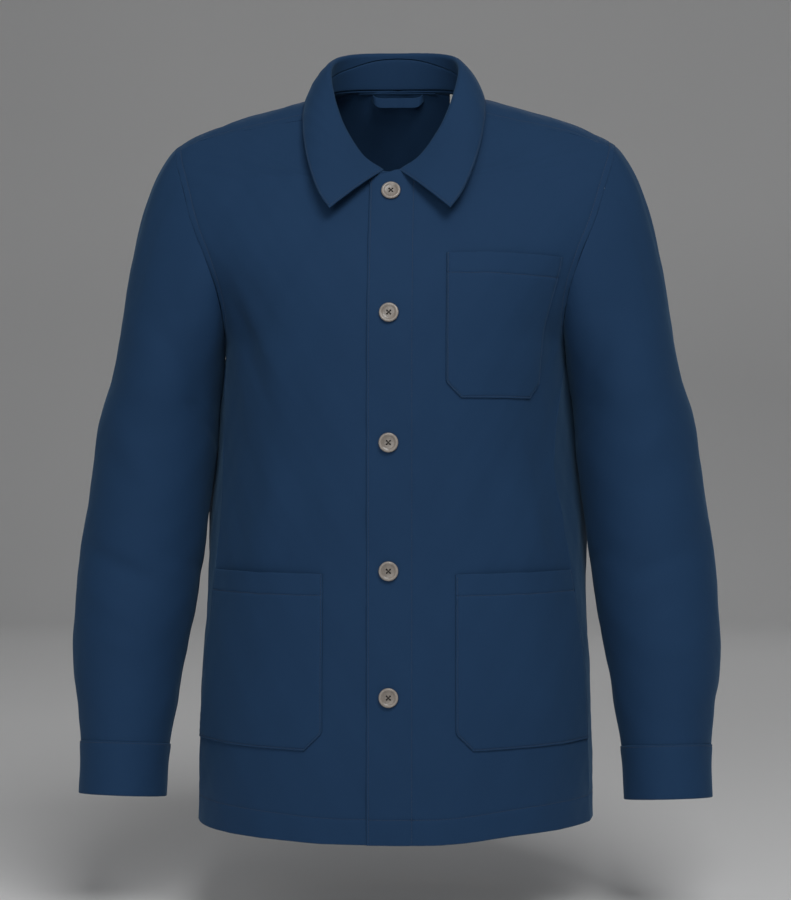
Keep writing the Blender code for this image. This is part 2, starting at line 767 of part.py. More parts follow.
def cuff_grid():
    """Rings of a cuff band on the +X side."""
    grid = []
    for z in keys_between(CUFF_SEAM_Z - CUFF_GAP, CUFF_END_Z, CUFF_ROWS):
        grid.append([sleeve_ring(z, turn, CUFF_PROUD)[0] for _, _, turn in armhole_loop()])
    return grid


def build_sleeve(group, side, finish):
    grid = sleeve_grid(side)
    cuff = cuff_grid()
    if side == "right":
        grid = [mirrored(ring) for ring in grid]
        cuff = [mirrored(ring) for ring in cuff]
    flip = side == "left"
    cloth(group, "sleeve_" + side, [grid], WALL, finish, closed=True, flip=flip)
    cloth(group, "cuff_" + side, [cuff], BAND_WALL, finish, closed=True, flip=flip)


# ---- Collar ----

STAND_GAP = 0.0006  # between the neck seam and the stand
ROLL_GAP = 0.0012  # between the stand's top and the fall's inner edge
ROLL_SWEEP = 155.0  # degrees of the fall's turn over the stand
ROLL_HEIGHT = 0.6  # the roll's centre above the stand, as a share of its radius
FALL_DROOP = 0.4  # how much of that is lost towards the edge
FALL_BULGE = 0.10  # how far the fall stands out between roll and edge, as a share of its width
STAND_COLUMNS = 30
STAND_ROWS = 3
FALL_COLUMNS = 34
ROLL_STEPS = 4
FALL_STEPS = 4


def collar_turns(count):
    """Degrees round the neck from the wearer's left front, by the back, to the right front."""
    return keys_between(COLLAR_START, 360.0 - COLLAR_START, count)


def collar_place(turn):
    """The neck seam's point, the way out from the neck and the collar's row, at a turn."""
    half = turn if turn <= 180.0 else 360.0 - turn
    spot = neck_point(half)
    along = neck_way(half)
    out = np.array([along[1], -along[0], 0.0])
    out /= np.linalg.norm(out)
    row = {name: read(COLLAR, "turn", name, half) for name in COLLAR if name != "turn"}
    return spot, out, row, turn > 180.0


def collar_up(turn):
    """The way up the stand at a turn: upright, and leaning in to the neck."""
    spot, out, row, other = collar_place(turn)
    rise = np.array([0.0, 0.0, 1.0]) * row["height"] - out * row["lean"]
    return spot, out, rise, row, other


def build_stand(group, finish):
    """The stand, from the neck seam up to the seam inside the roll."""
    grid = []
    for step in range(STAND_ROWS):
        share = step / (STAND_ROWS - 1)
        line = []
        for turn in collar_turns(STAND_COLUMNS):
            spot, out, rise, row, other = collar_up(turn)
            unit = rise / np.linalg.norm(rise)
            place = spot + unit * STAND_GAP + rise * share
            line.append(mirrored(place) if other else place)
        grid.append(line)
    return cloth(group, "collar_stand", [grid], WALL, finish)


def fall_section(turn):
    """The fall's outer face at a turn: up inside the neck, over the roll, and down to its edge."""
    spot, out, rise, row, other = collar_up(turn)
    unit = rise / np.linalg.norm(rise)
    side = out - unit * np.dot(out, unit)
    side /= np.linalg.norm(side)
    top = spot + rise + unit * ROLL_GAP
    roll = row["roll"]
    centre = top + unit * (row["over"] + roll * ROLL_HEIGHT) + side * (roll - WALL)
    points = [top - side * WALL]
    for i in range(ROLL_STEPS):
        angle = math.radians(180.0 - ROLL_SWEEP * i / (ROLL_STEPS - 1))
        points.append(centre + (side * math.cos(angle) + unit * math.sin(angle)) * roll)
    edge = np.array([row["edge_x"], row["edge_y"], row["edge_z"]])
    start = points[-1]
    run = edge - start
    bulge = side * np.linalg.norm(run) * FALL_BULGE
    for i in range(1, FALL_STEPS + 1):
        t = i / FALL_STEPS
        points.append(start + run * t + bulge * 4 * t * (1 - t) * (1 - FALL_DROOP * t))
    return mirrored(points) if other else np.array(points)


def build_fall(group, finish):
    sections = [fall_section(turn) for turn in collar_turns(FALL_COLUMNS)]
    return cloth(group, "collar_fall", [sections], WALL, finish)


# ---- Pockets ----

GAPE_POWER = 5  # how soon a pocket's mouth stops standing open, down from its top
POCKET_COLUMNS = 11
POCKET_ROWS = 9


def build_pocket(group, name, panel, pocket, finish):
    """A patch pocket made from its front's points, moved out, with cut lower corners."""
    grid = []
    for row in range(POCKET_ROWS):
        share = row / (POCKET_ROWS - 1)
        key = pocket["bottom"] + (pocket["top"] - pocket["bottom"]) * share
        up = key - pocket["bottom"]
        if pocket["outer"] is None:
            outer = panel.length(key) - POCKET_SIDE_MARGIN
        else:
            outer = pocket["foot_outer"] + (pocket["outer"] - pocket["foot_outer"]) * share
        inner = pocket["inner"] + max(pocket["corner"] - up, 0.0)
        outer -= max(pocket["outer_corner"] - up, 0.0)
        line = []
        for across in keys_between(inner, outer, POCKET_COLUMNS):
            spread = (across - inner) / (outer - inner)
            gape = pocket["gape"] * math.sin(math.pi * spread) * share**GAPE_POWER
            line.append(panel.point(across, key, POCKET_LIFT + POCKET_WALL + gape))
        grid.append(mirrored(line) if panel.side == "right" else line)
    return cloth(group, name, [grid], POCKET_WALL, finish, flip=panel.side == "right")


# ---- Buttons and small pieces ----


def build_button(group, cutters, number, height, panel, finish):
    """A turned four-hole button lying on the band, with a rim and a dished face."""
    seat = panel.point(0.0, height)
    out = panel.normal(0.0, height)
    section = [(wide * BUTTON_RADIUS, 0.0, high * BUTTON_THICK) for wide, high in BUTTON_SECTION]
    mesh = bpy.data.meshes.new("button_section")
    mesh.from_pydata(section, [(i, i + 1) for i in range(len(section) - 1)], [])
    item = add_object(group, "button_%d" % number, mesh, finish)
    turned = item.modifiers.new("Turned", "SCREW")
    turned.steps = BUTTON_SIDES
    turned.render_steps = BUTTON_SIDES
    turned.use_merge_vertices = True
    turned.merge_threshold = 0.00001
    turned.use_normal_calculate = False
    tilt = math.atan2(out[2], -out[1])
    item.rotation_euler = (math.radians(90) - tilt, 0.0, 0.0)
    item.location = seat + out * BUTTON_LIFT
    for i in range(4):
        angle = math.radians(45 + 90 * i)
        offset = BUTTON_HOLE_OFFSET * math.sqrt(2)
        made = bpy.data.meshes.new("button_hole")
        shape = bmesh.new()
        bmesh.ops.create_cone(
            shape,
            cap_ends=True,
            segments=HOLE_SIDES,
            radius1=BUTTON_HOLE_RADIUS,
            radius2=BUTTON_HOLE_RADIUS,
            depth=HOLE_CUTTER_LENGTH,
        )
        bmesh.ops.translate(
            shape, verts=shape.verts, vec=(offset * math.cos(angle), offset * math.sin(angle), 0.0)
        )
        shape.to_mesh(made)
        shape.free()
        hole = bpy.data.objects.new("button_%d_hole_%d" % (number, i + 1), made)
        cutters.objects.link(hole)
        hole.hide_render = True
        hole.display_type = "WIRE"
        hole.parent = item
        cut = item.modifiers.new("Hole %d" % (i + 1), "BOOLEAN")
        cut.object = hole
    return item


# Strips inside the back neck: half-way place and half length in degrees round the neck, the upper and
# lower edges' distances from the neck seam, how far the strip stands off at its ends and how much
# more at its middle, its wall, its columns, how much lower it is at its middle, and whether its ends
# and its middle hang straight down (1) or lie down the back (0).
STRIPS = table(
    "middle half top low stand bow wall columns sag ends_hang hang",
    [
        (180.0, 30.0, 0.0010, 0.0062, 0.0005, 0.0000, 0.0007, 15, 0.0000, 0, 0),
        (180.0, 19.0, 0.0011, 0.0114, 0.0014, 0.0012, 0.0012, 13, 0.0014, 0, 1),
        (127.0, 5.0, 0.0006, 0.0110, -0.0002, 0.0000, 0.0006, 5, 0.0000, 1, 1),
    ],
)
STRIP_NAMES = ("neck_tape", "hanger_loop", "neck_label")
STRIP_ROWS = 3
STRIP_LOWEST_KEY = BACK_NECK_Z + 0.004  # row of the back by which a strip at the centre lies


def inside_neck(panel, turn, down, inward, hang):
    """A point inside the back neck: down from the neck seam, and in from the cloth."""
    half = turn if turn <= 180.0 else 360.0 - turn
    key = BACK_NECK_Z + NECK_RUN * (180.0 - half) / (180.0 - SHOULDER_TURN)
    side = neck_way(half)
    out = panel.normal(SEAM_GAP, max(key, STRIP_LOWEST_KEY))
    if half >= 180.0 - NECK_STEP / 2:
        side[1:] = 0.0
        out[0] = 0.0
        out /= np.linalg.norm(out)
    slope = np.cross(side, out)
    slope /= -np.copysign(np.linalg.norm(slope), slope[2])
    slope = slope * (1.0 - hang) + np.array([0.0, 0.0, -hang])
    place = neck_point(half) + slope * down - out * (WALL + SEAM_GAP + inward)
    return mirrored(place) if turn > 180.0 else place


def build_strip(group, name, panel, strip, finish):
    """A strip of cloth along the inside of the back neck, held at its ends."""
    first = strip["middle"] - strip["half"]
    last = strip["middle"] + strip["half"]
    grid = []
    for share in keys_between(0.0, 1.0, STRIP_ROWS):
        line = []
        for turn in keys_between(first, last, int(strip["columns"])):
            off = 1.0 - (abs(turn - strip["middle"]) / strip["half"]) ** 4
            down = strip["top"] + (strip["low"] - strip["top"]) * share + strip["sag"] * off
            inward = strip["stand"] + strip["bow"] * off + strip["wall"]
            hang = strip["ends_hang"] + (strip["hang"] - strip["ends_hang"]) * off
            line.append(inside_neck(panel, turn, down, inward, hang))
        grid.append(line)
    return cloth(group, name, [grid], strip["wall"], finish)


def main():
    for item in list(bpy.data.objects):
        bpy.data.objects.remove(item, do_unlink=True)
    group = collect(JACKET)
    cutters = collect("cutters")
    drill = material("blue_drill", (0.020, 0.043, 0.098), 0.85)
    horn = material("taupe_horn", (0.32, 0.25, 0.20), 0.4)
    white = material("white_tape", (0.80, 0.80, 0.78), 0.8)

    lap_lift = WALL + SEAM_GAP
    fronts = {
        "left": Panel("front_left", "left", front_row, FOLDS["front_left"], lap_lift),
        "right": Panel("front_right", "right", front_row, FOLDS["front_right"]),
    }
    right_folds = dict(FOLDS["back"], across=-FOLDS["back"]["across"], slant=-FOLDS["back"]["slant"])
    backs = {
        "left": Panel("back", "left", back_row, FOLDS["back"]),
        "right": Panel("back", "right", back_row, right_folds),
    }
    for panel in fronts.values():
        build_front(group, panel, drill)
    build_back(group, backs, drill)
    for side in ("left", "right"):
        build_sleeve(group, side, drill)
    build_stand(group, drill)
    build_fall(group, drill)
    for name, pocket in POCKETS.items():
        build_pocket(group, name, fronts[pocket["panel"]], pocket, drill)
    for number, height in enumerate(BUTTON_HEIGHTS, 1):
        build_button(group, cutters, number, height, fronts["left"], horn)
    for i, name in enumerate(STRIP_NAMES):
        strip = {column: values[i] for column, values in STRIPS.items()}
        build_strip(group, name, backs["left"], strip, white if name == "neck_label" else drill)


main()
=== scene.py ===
"""Finished look of a chore jacket in blue cotton drill, buttoned and worn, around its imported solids.

Metres, +Z up, the front faces -Y and the wearer's left is +X. Each piece is a thin sheet of cloth with
folded edges, cut from the same tables as its solid, with its seams, stitching, folds and weave.
"""

import math

import bpy
import numpy as np
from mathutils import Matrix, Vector


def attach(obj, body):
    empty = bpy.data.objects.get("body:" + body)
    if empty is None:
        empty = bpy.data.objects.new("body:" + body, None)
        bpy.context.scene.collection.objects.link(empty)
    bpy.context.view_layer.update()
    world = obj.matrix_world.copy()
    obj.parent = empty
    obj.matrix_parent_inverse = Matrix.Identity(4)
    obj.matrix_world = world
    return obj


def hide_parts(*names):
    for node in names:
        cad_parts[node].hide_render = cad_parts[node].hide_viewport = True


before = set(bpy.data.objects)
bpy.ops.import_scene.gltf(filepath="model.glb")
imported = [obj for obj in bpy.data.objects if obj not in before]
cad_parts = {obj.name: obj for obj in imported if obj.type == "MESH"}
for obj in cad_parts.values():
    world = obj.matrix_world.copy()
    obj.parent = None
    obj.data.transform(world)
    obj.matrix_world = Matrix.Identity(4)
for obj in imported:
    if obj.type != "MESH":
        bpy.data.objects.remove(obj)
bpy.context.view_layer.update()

# ---- Sizes (metres) ----

WALL = 0.0016
BAND_WALL = 0.0024
SEAM_GAP = 0.0003
HEM_Z = -0.709
ARMPIT_Z = -0.243
NECK_Z = -0.078
BACK_NECK_Z = 0.028
NECK_RUN = 0.1  # how far a row key runs along the neck seam, from the centre to the shoulder seam
SHOULDER_TURN = 78.0  # degrees round the neck, from the centre front to the shoulder seam
LAP = 0.0205
BAND_EDGE = 0.0215
NECK_LIFT = 0.0045  # how much higher the fronts' tops stand by the centre than their rows
HEM_RISE = {"left": 0.0062, "right": 0.0018}  # how much higher the hem hangs at each side seam
HEM_RISE_SPAN = (0.04, 0.14)  # distances across over which that rise comes in
NECK_LIFT_BELOW = 0.02  # how far below the neck the fronts' lift starts
NECK_LIFT_SPAN = (0.03, 0.004)  # distances across over which that lift comes in
LAP_EASE = 0.034
FRONT_LEAD = 0.60
FRONT_LAND = 0.62
BACK_ROUND = 0.58
SEAM_TURN_IN = 0.4
FOLD_FADE = 0.05
HEM_FADE = 0.12

HEM_TURNING = 0.0240  # from the hem's edge to its stitching
EDGE_STITCH = 0.0018  # from a folded edge to the stitching along it
SEAM_STITCH = 0.0060  # from a seam to the topstitching beside it
GROOVE_WIDTH = 0.0010
SEAM_FOLD = 0.00028  # how far the turned edge of a sewn seam lies under the outer face
GROOVE_DEPTH = 0.00035
STITCH_PITCH = 0.0031
STITCH_LENGTH = 0.0023
THREAD = 0.00026  # half a thread's width

BUTTON_RADIUS = 0.0092
BUTTON_THICK = 0.0032
BUTTON_HEIGHTS = (-0.0945, -0.2120, -0.3330, -0.4530, -0.5710)
BUTTON_LIFT = 0.0005
BUTTON_HOLE_RADIUS = 0.00085
BUTTON_HOLE_OFFSET = 0.0016
BUTTON_THREAD_RADIUS = 0.00026


def table(names, rows):
    """Columns of a short table, by name."""
    columns = np.array(rows, float).T
    return dict(zip(names.split(), columns))


def read(columns, key_name, name, key):
    """A column's value at one key or many, on a smooth curve through the table's rows."""
    keys = columns[key_name]
    values = columns[name]
    slopes = np.gradient(values, keys)
    key = np.clip(key, keys[0], keys[-1])
    row = np.clip(np.searchsorted(keys, key, side="right") - 1, 0, len(keys) - 2)
    step = keys[row + 1] - keys[row]
    t = (key - keys[row]) / step
    rise = values[row + 1] - values[row]
    start = slopes[row] * step
    end = slopes[row + 1] * step
    return values[row] + start * t + (3 * rise - 2 * start - end) * t**2 + (start + end - 2 * rise) * t**3


# ---- Tables of the body ----

# The neck seam, by degrees round from the centre front, on the +X side.
NECK = table(
    "turn x y z",
    [
        (0, 0.000, -0.090, -0.078),
        (25, 0.031, -0.083, -0.069),
        (50, 0.056, -0.063, -0.044),
        (75, 0.069, -0.034, -0.012),
        (95, 0.072, -0.010, 0.008),
        (115, 0.067, 0.014, 0.018),
        (140, 0.049, 0.037, 0.025),
        (165, 0.021, 0.051, 0.0277),
        (180, 0.000, 0.054, 0.028),
    ],
)

# The centre lines and the widest points of the body, by height. There the sides flare back outwards
# by so many degrees.
BODY = table(
    "level front back half_width widest_y flare",
    [
        (-0.709, 0.149, 0.140, 0.1965, 0.008, 0),
        (-0.680, 0.149, 0.139, 0.1963, 0.008, 0),
        (-0.620, 0.149, 0.137, 0.1955, 0.008, 0),
        (-0.550, 0.148, 0.134, 0.1935, 0.010, 0),
        (-0.500, 0.148, 0.132, 0.1908, 0.015, 4),
        (-0.450, 0.147, 0.130, 0.1910, 0.030, 8),
        (-0.400, 0.147, 0.129, 0.1925, 0.045, 12),
        (-0.350, 0.147, 0.130, 0.1868, 0.045, 12),
        (-0.300, 0.148, 0.134, 0.1825, 0.038, 10),
        (-0.262, 0.147, 0.138, 0.1775, 0.022, 6),
        (-0.243, 0.146, 0.139, 0.1700, 0.008, 0),
        (-0.200, 0.140, 0.141, 0.1700, 0.008, 0),
        (-0.160, 0.129, 0.139, 0.1700, 0.008, 0),
        (-0.120, 0.112, 0.133, 0.1700, 0.008, 0),
        (-0.078, 0.090, 0.119, 0.1700, 0.008, 0),
        (-0.030, 0.066, 0.094, 0.1700, 0.008, 0),
        (0.028, 0.036, 0.054, 0.1700, 0.008, 0),
    ],
)

# The side seams, by height: place, then the way the front and the back arrive, in degrees from +X.
SIDE_SEAM = {
    "left": table(
        "level x y front_turn back_turn",
        [
            (-0.709, 0.1920, -0.040, 68, 80),
            (-0.620, 0.1895, -0.045, 66, 79),
            (-0.540, 0.1850, -0.050, 63, 77),
            (-0.480, 0.1770, -0.056, 60, 75),
            (-0.415, 0.1665, -0.060, 56, 72),
            (-0.350, 0.1560, -0.064, 54, 70),
            (-0.306, 0.1600, -0.053, 60, 76),
            (-0.270, 0.1655, -0.033, 72, 84),
            (-0.243, 0.1690, -0.010, 84, 90),
        ],
    ),
    "right": table(
        "level x y front_turn back_turn",
        [
            (-0.709, 0.1930, -0.034, 72, 82),
            (-0.600, 0.1890, -0.042, 68, 80),
            (-0.500, 0.1785, -0.054, 62, 78),
            (-0.450, 0.1725, -0.056, 60, 77),
            (-0.400, 0.1695, -0.050, 62, 78),
            (-0.350, 0.1680, -0.042, 66, 80),
            (-0.300, 0.1685, -0.030, 73, 85),
            (-0.243, 0.1690, -0.010, 84, 90),
        ],
    ),
}

# The armhole's front and back edges, by row key: place, the way the body arrives (turn, dip), the way
# the sleeve leaves (fan, fall), how the row leaves the centre or neck, and its two handles.
ARMHOLE_COLUMNS = "key x y z turn dip fan fall start_dip lead land"
ARMHOLE = {
    "front": table(
        ARMHOLE_COLUMNS,
        [
            (-0.243, 0.1690, -0.010, -0.243, 84, 0, 0, 84, 0, 0.1014, 0.0843),
            (-0.215, 0.1665, -0.050, -0.217, 66, 0, -40, 72, 0, 0.100, 0.055),
            (-0.185, 0.1705, -0.072, -0.187, 48, 2, -25, 62, 0, 0.095, 0.045),
            (-0.150, 0.1815, -0.079, -0.153, 34, 5, -10, 54, 0, 0.090, 0.045),
            (-0.115, 0.1960, -0.070, -0.117, 24, 12, 0, 48, 0, 0.085, 0.050),
            (-0.078, 0.2050, -0.058, -0.088, 15, 22, 2, 45, 0, 0.080, 0.050),
            (-0.053, 0.2090, -0.051, -0.075, 10, 28, 2, 48, 3, 0.075, 0.050),
            (-0.028, 0.2125, -0.045, -0.064, 6, 32, 1, 48, 8, 0.065, 0.045),
            (-0.003, 0.2150, -0.039, -0.055, 3, 35, 0, 48, 13, 0.056, 0.042),
            (0.022, 0.2165, -0.033, -0.047, 0, 36, 0, 48, 16, 0.050, 0.040),
        ],
    ),
    "back": table(
        ARMHOLE_COLUMNS,
        [
            (-0.243, 0.1690, -0.010, -0.243, 90, 0, 0, 84, 0, 0.099, 0.108),
            (-0.210, 0.1750, 0.034, -0.212, 72, 0, 40, 72, 0, 0.105, 0.055),
            (-0.175, 0.1860, 0.062, -0.177, 52, 3, 25, 62, 0, 0.100, 0.045),
            (-0.135, 0.1970, 0.072, -0.139, 38, 8, 12, 54, 0, 0.090, 0.045),
            (-0.095, 0.2050, 0.067, -0.105, 27, 15, 4, 48, 0, 0.085, 0.050),
            (-0.055, 0.2105, 0.052, -0.077, 18, 23, 0, 45, 0, 0.080, 0.050),
            (-0.015, 0.2145, 0.034, -0.055, 11, 30, 0, 44, 0, 0.075, 0.050),
            (0.028, 0.2170, 0.014, -0.041, 5, 35, 0, 48, 2, 0.070, 0.050),
            (0.053, 0.2178, 0.002, -0.038, 3, 37, 0, 48, 10, 0.060, 0.045),
            (0.078, 0.2180, -0.010, -0.0385, 2, 37, 0, 43, 16, 0.055, 0.042),
            (0.103, 0.2175, -0.022, -0.042, 1, 37, 0, 48, 17, 0.052, 0.040),
            (0.128, 0.2165, -0.033, -0.047, 0, 36, 0, 48, 16, 0.050, 0.040),
        ],
    ),
}

# ---- Tables of the sleeve, collar and folds ----

# Rings of the sleeve, by height of their centres.
SLEEVE = table(
    "z x y half_width half_depth",
    [
        (-0.686, 0.2690, -0.034, 0.0420, 0.0465),
        (-0.640, 0.2675, -0.028, 0.0428, 0.0472),
        (-0.620, 0.2670, -0.025, 0.0450, 0.0490),
        (-0.592, 0.2668, -0.020, 0.0495, 0.0525),
        (-0.544, 0.2660, -0.012, 0.0560, 0.0580),
        (-0.496, 0.2610, -0.004, 0.0600, 0.0610),
        (-0.448, 0.2555, 0.002, 0.0613, 0.0630),
        (-0.400, 0.2490, 0.004, 0.0608, 0.0645),
        (-0.360, 0.2434, 0.005, 0.0608, 0.0660),
        (-0.320, 0.2382, 0.004, 0.0600, 0.0680),
        (-0.282, 0.2306, 0.002, 0.0551, 0.0710),
    ],
)
SLEEVE_TOP_Z = -0.282
CUFF_SEAM_Z = -0.630
CUFF_END_Z = -0.681
CUFF_PROUD = 0.0012  # how far the cuff band stands outside the sleeve it is sewn to

# The collar, by degrees round the neck: the stand's height and lean, how far the fall rises over it
# before it rolls, the roll's radius and the fall's outer edge.
COLLAR = table(
    "turn height lean over roll edge_x edge_y edge_z",
    [
        (6, 0.0012, 0.0000, 0.0000, 0.0022, 0.0570, -0.1225, -0.1110),
        (20, 0.0075, 0.0015, 0.0005, 0.0026, 0.0660, -0.1155, -0.0985),
        (35, 0.0130, 0.0035, 0.0030, 0.0030, 0.0748, -0.1030, -0.0800),
        (50, 0.0160, 0.0045, 0.0055, 0.0033, 0.0825, -0.0840, -0.0570),
        (65, 0.0175, 0.0045, 0.0075, 0.0033, 0.0880, -0.0600, -0.0320),
        (80, 0.0180, 0.0045, 0.0090, 0.0033, 0.0905, -0.0330, -0.0075),
        (95, 0.0180, 0.0045, 0.0100, 0.0033, 0.0890, -0.0020, 0.0130),
        (115, 0.0185, 0.0045, 0.0105, 0.0033, 0.0795, 0.0360, 0.0210),
        (140, 0.0225, 0.0050, 0.0075, 0.0033, 0.0560, 0.0660, 0.0190),
        (165, 0.0290, 0.0065, 0.0015, 0.0033, 0.0235, 0.0810, 0.0145),
        (180, 0.0305, 0.0070, 0.0000, 0.0033, 0.0000, 0.0840, 0.0130),
    ],
)
COLLAR_START = 6.0

# Large soft folds: the panel, its centre (across and height), the slant of its length from upright in
# degrees, its half width and half length, and how far it stands out (or sinks in).
FOLD_COLUMNS = "across height slant width length depth"
FOLDS = {
    "front_left": table(
        FOLD_COLUMNS,
        [
            (0.186, -0.235, 12, 0.013, 0.035, -0.0022),
            (0.150, -0.390, -8, 0.020, 0.080, 0.0026),
            (0.100, -0.420, -6, 0.024, 0.130, -0.0018),
            (0.060, -0.640, 4, 0.026, 0.120, 0.0018),
        ],
    ),
    "front_right": table(
        FOLD_COLUMNS,
        [
            (0.160, -0.210, 24, 0.011, 0.055, -0.0032),
            (0.135, -0.225, 32, 0.014, 0.060, 0.0024),
            (0.120, -0.360, -5, 0.022, 0.120, 0.0020),
            (0.080, -0.430, 5, 0.024, 0.120, -0.0018),
            (0.070, -0.640, -4, 0.026, 0.120, 0.0016),
        ],
    ),
    "back": table(
        FOLD_COLUMNS,
        [
            (-0.150, -0.230, -28, 0.014, 0.070, -0.0034),
            (0.150, -0.235, 28, 0.014, 0.070, -0.0034),
            (-0.110, -0.300, -24, 0.018, 0.090, 0.0030),
            (0.115, -0.310, 26, 0.018, 0.090, 0.0030),
            (-0.060, -0.480, -7, 0.024, 0.150, 0.0032),
            (0.070, -0.500, 6, 0.024, 0.160, 0.0030),
            (0.005, -0.560, 2, 0.026, 0.150, -0.0030),
            (-0.140, -0.600, 4, 0.022, 0.110, -0.0026),
            (0.150, -0.610, -4, 0.022, 0.110, -0.0026),
        ],
    ),
}
# Folds of a sleeve: round is in degrees from the inner side by way of the front.
SLEEVE_FOLD_COLUMNS = "round height slant width length depth"
SLEEVE_FOLDS = {
    "left": table(
        SLEEVE_FOLD_COLUMNS,
        [
            (60, -0.265, 50, 0.012, 0.050, -0.0030),
            (95, -0.340, 40, 0.014, 0.055, 0.0020),
            (100, -0.455, 70, 0.012, 0.045, -0.0024),
            (70, -0.480, 62, 0.012, 0.045, 0.0018),
            (265, -0.430, -66, 0.014, 0.050, 0.0026),
            (290, -0.465, -60, 0.012, 0.050, -0.0028),
            (250, -0.300, -45, 0.014, 0.060, 0.0024),
            (170, -0.590, 60, 0.012, 0.040, -0.0016),
        ],
    ),
    "right": table(
        SLEEVE_FOLD_COLUMNS,
        [
            (62, -0.260, 46, 0.012, 0.055, -0.0032),
            (100, -0.350, 36, 0.015, 0.060, 0.0018),
            (85, -0.470, 66, 0.012, 0.045, -0.0022),
            (110, -0.500, 60, 0.012, 0.040, 0.0016),
            (275, -0.440, -62, 0.014, 0.050, 0.0028),
            (300, -0.480, -56, 0.012, 0.050, -0.0026),
            (255, -0.320, -40, 0.015, 0.060, 0.0022),
            (180, -0.585, 58, 0.012, 0.040, -0.0014),
        ],
    ),
}

# Patch pockets, by distance across from the centre line and height, on a front.
POCKETS = {
    "chest_pocket": dict(
        panel="left", inner=0.0535, outer=0.1700, foot_outer=0.1610, top=-0.1540, bottom=-0.2910,
        corner=0.0150, outer_corner=0.0150, gape=0.0015,
    ),
    "pocket_left": dict(
        panel="left", inner=0.0625, outer=None, foot_outer=None, top=-0.4560, bottom=-0.6220,
        corner=0.0170, outer_corner=0.0, gape=0.0030,
    ),
    "pocket_right": dict(
        panel="right", inner=0.0625, outer=None, foot_outer=None, top=-0.4560, bottom=-0.6220,
        corner=0.0170, outer_corner=0.0, gape=0.0042,
    ),
}
POCKET_SIDE_MARGIN = 0.0015  # from the side seam to a lower pocket's outer edge

# Finer creases, laid over the large folds, in the same columns.
CREASES = {
    "front_left": table(
        FOLD_COLUMNS,
        [
            (0.178, -0.215, 18, 0.007, 0.040, -0.0011),
            (0.166, -0.245, 30, 0.008, 0.034, 0.0008),
            (0.150, -0.330, 10, 0.012, 0.050, -0.0007),
            (0.130, -0.440, -14, 0.014, 0.060, 0.0008),
            (0.085, -0.350, 7, 0.016, 0.070, 0.0005),
            (0.105, -0.680, 5, 0.020, 0.060, -0.0006),
        ],
    ),
    "front_right": table(
        FOLD_COLUMNS,
        [
            (0.172, -0.195, 14, 0.007, 0.045, -0.0012),
            (0.150, -0.255, 34, 0.008, 0.036, -0.0010),
            (0.165, -0.290, 18, 0.010, 0.040, 0.0007),
            (0.120, -0.300, 8, 0.014, 0.060, -0.0006),
            (0.140, -0.450, 12, 0.012, 0.055, 0.0007),
            (0.095, -0.690, -6, 0.020, 0.050, -0.0006),
        ],
    ),
    "back": table(
        FOLD_COLUMNS,
        [
            (-0.165, -0.190, -20, 0.008, 0.060, -0.0014),
            (0.168, -0.200, 22, 0.008, 0.060, -0.0014),
            (-0.130, -0.360, -18, 0.012, 0.080, -0.0010),
            (0.125, -0.380, 20, 0.012, 0.080, -0.0010),
            (-0.030, -0.400, -5, 0.014, 0.100, 0.0009),
            (0.045, -0.430, 8, 0.014, 0.110, -0.0009),
            (0.000, -0.120, 86, 0.012, 0.060, -0.0006),
        ],
    ),
}
# Gentle unevenness of worn drill: how high, then the waves' lengths across and along, and a shift.
UNEVEN = table(
    "height across along shift",
    [
        (0.00030, 0.071, 0.143, 0.3),
        (0.00022, 0.047, -0.088, 1.7),
        (0.00016, 0.033, 0.052, 4.1),
        (0.00010, 0.021, -0.029, 2.6),
    ],
)
PUCKER_HEIGHT = 0.00012  # ripples that sewing leaves along a seam
PUCKER_LENGTH = 0.0085
PUCKER_REACH = 0.0060

# ---- Curves and rows ----

ROW_SAMPLES = 240
NECK_STEP = 2.0


def direction(turn, dip):
    """Unit vector at a turn from +X towards +Y, dipping below the level, in degrees."""
    turn = np.radians(turn)
    dip = np.radians(dip)
    return np.stack([np.cos(turn) * np.cos(dip), np.sin(turn) * np.cos(dip), -np.sin(dip)], axis=-1)


def bezier(start, start_handle, end_handle, end, samples=ROW_SAMPLES):
    """Points along a cubic from start to end."""
    t = np.linspace(0.0, 1.0, samples)[:, None]
    return (
        start * (1 - t) ** 3
        + start_handle * 3 * t * (1 - t) ** 2
        + end_handle * 3 * t**2 * (1 - t)
        + end * t**3
    )


def distances(points):
    """Distance along a row of points, from its start."""
    steps = np.linalg.norm(np.diff(points, axis=0), axis=1)
    return np.concatenate([[0.0], np.cumsum(steps)])


def place_in(columns, key_name, key):
    """The x, y and z columns' values at a key."""
    return np.stack([read(columns, key_name, axis, key) for axis in "xyz"], axis=-1)


def unit(vectors):
    """Vectors of length 1."""
    return vectors / np.linalg.norm(vectors, axis=-1, keepdims=True)


def neck_way(turn):
    """The way the neck seam runs on the +X side, towards the centre back."""
    ahead = place_in(NECK, "turn", min(turn + NECK_STEP, 180.0))
    return ahead - place_in(NECK, "turn", turn - NECK_STEP)


def seam_place(side, key):
    """A point of a side seam."""
    seam = SIDE_SEAM[side]
    return np.array([read(seam, "level", "x", key), read(seam, "level", "y", key), key])


def to_armhole(start, half, key, toward):
    """A row from the centre line or neck seam to the armhole."""
    edge = ARMHOLE[half]
    end = place_in(edge, "key", key)
    arrive = direction(toward * read(edge, "key", "turn", key), read(edge, "key", "dip", key))
    leave = direction(0.0, read(edge, "key", "start_dip", key))
    lead = start + leave * read(edge, "key", "lead", key)
    return bezier(start, lead, end - arrive * read(edge, "key", "land", key), end)


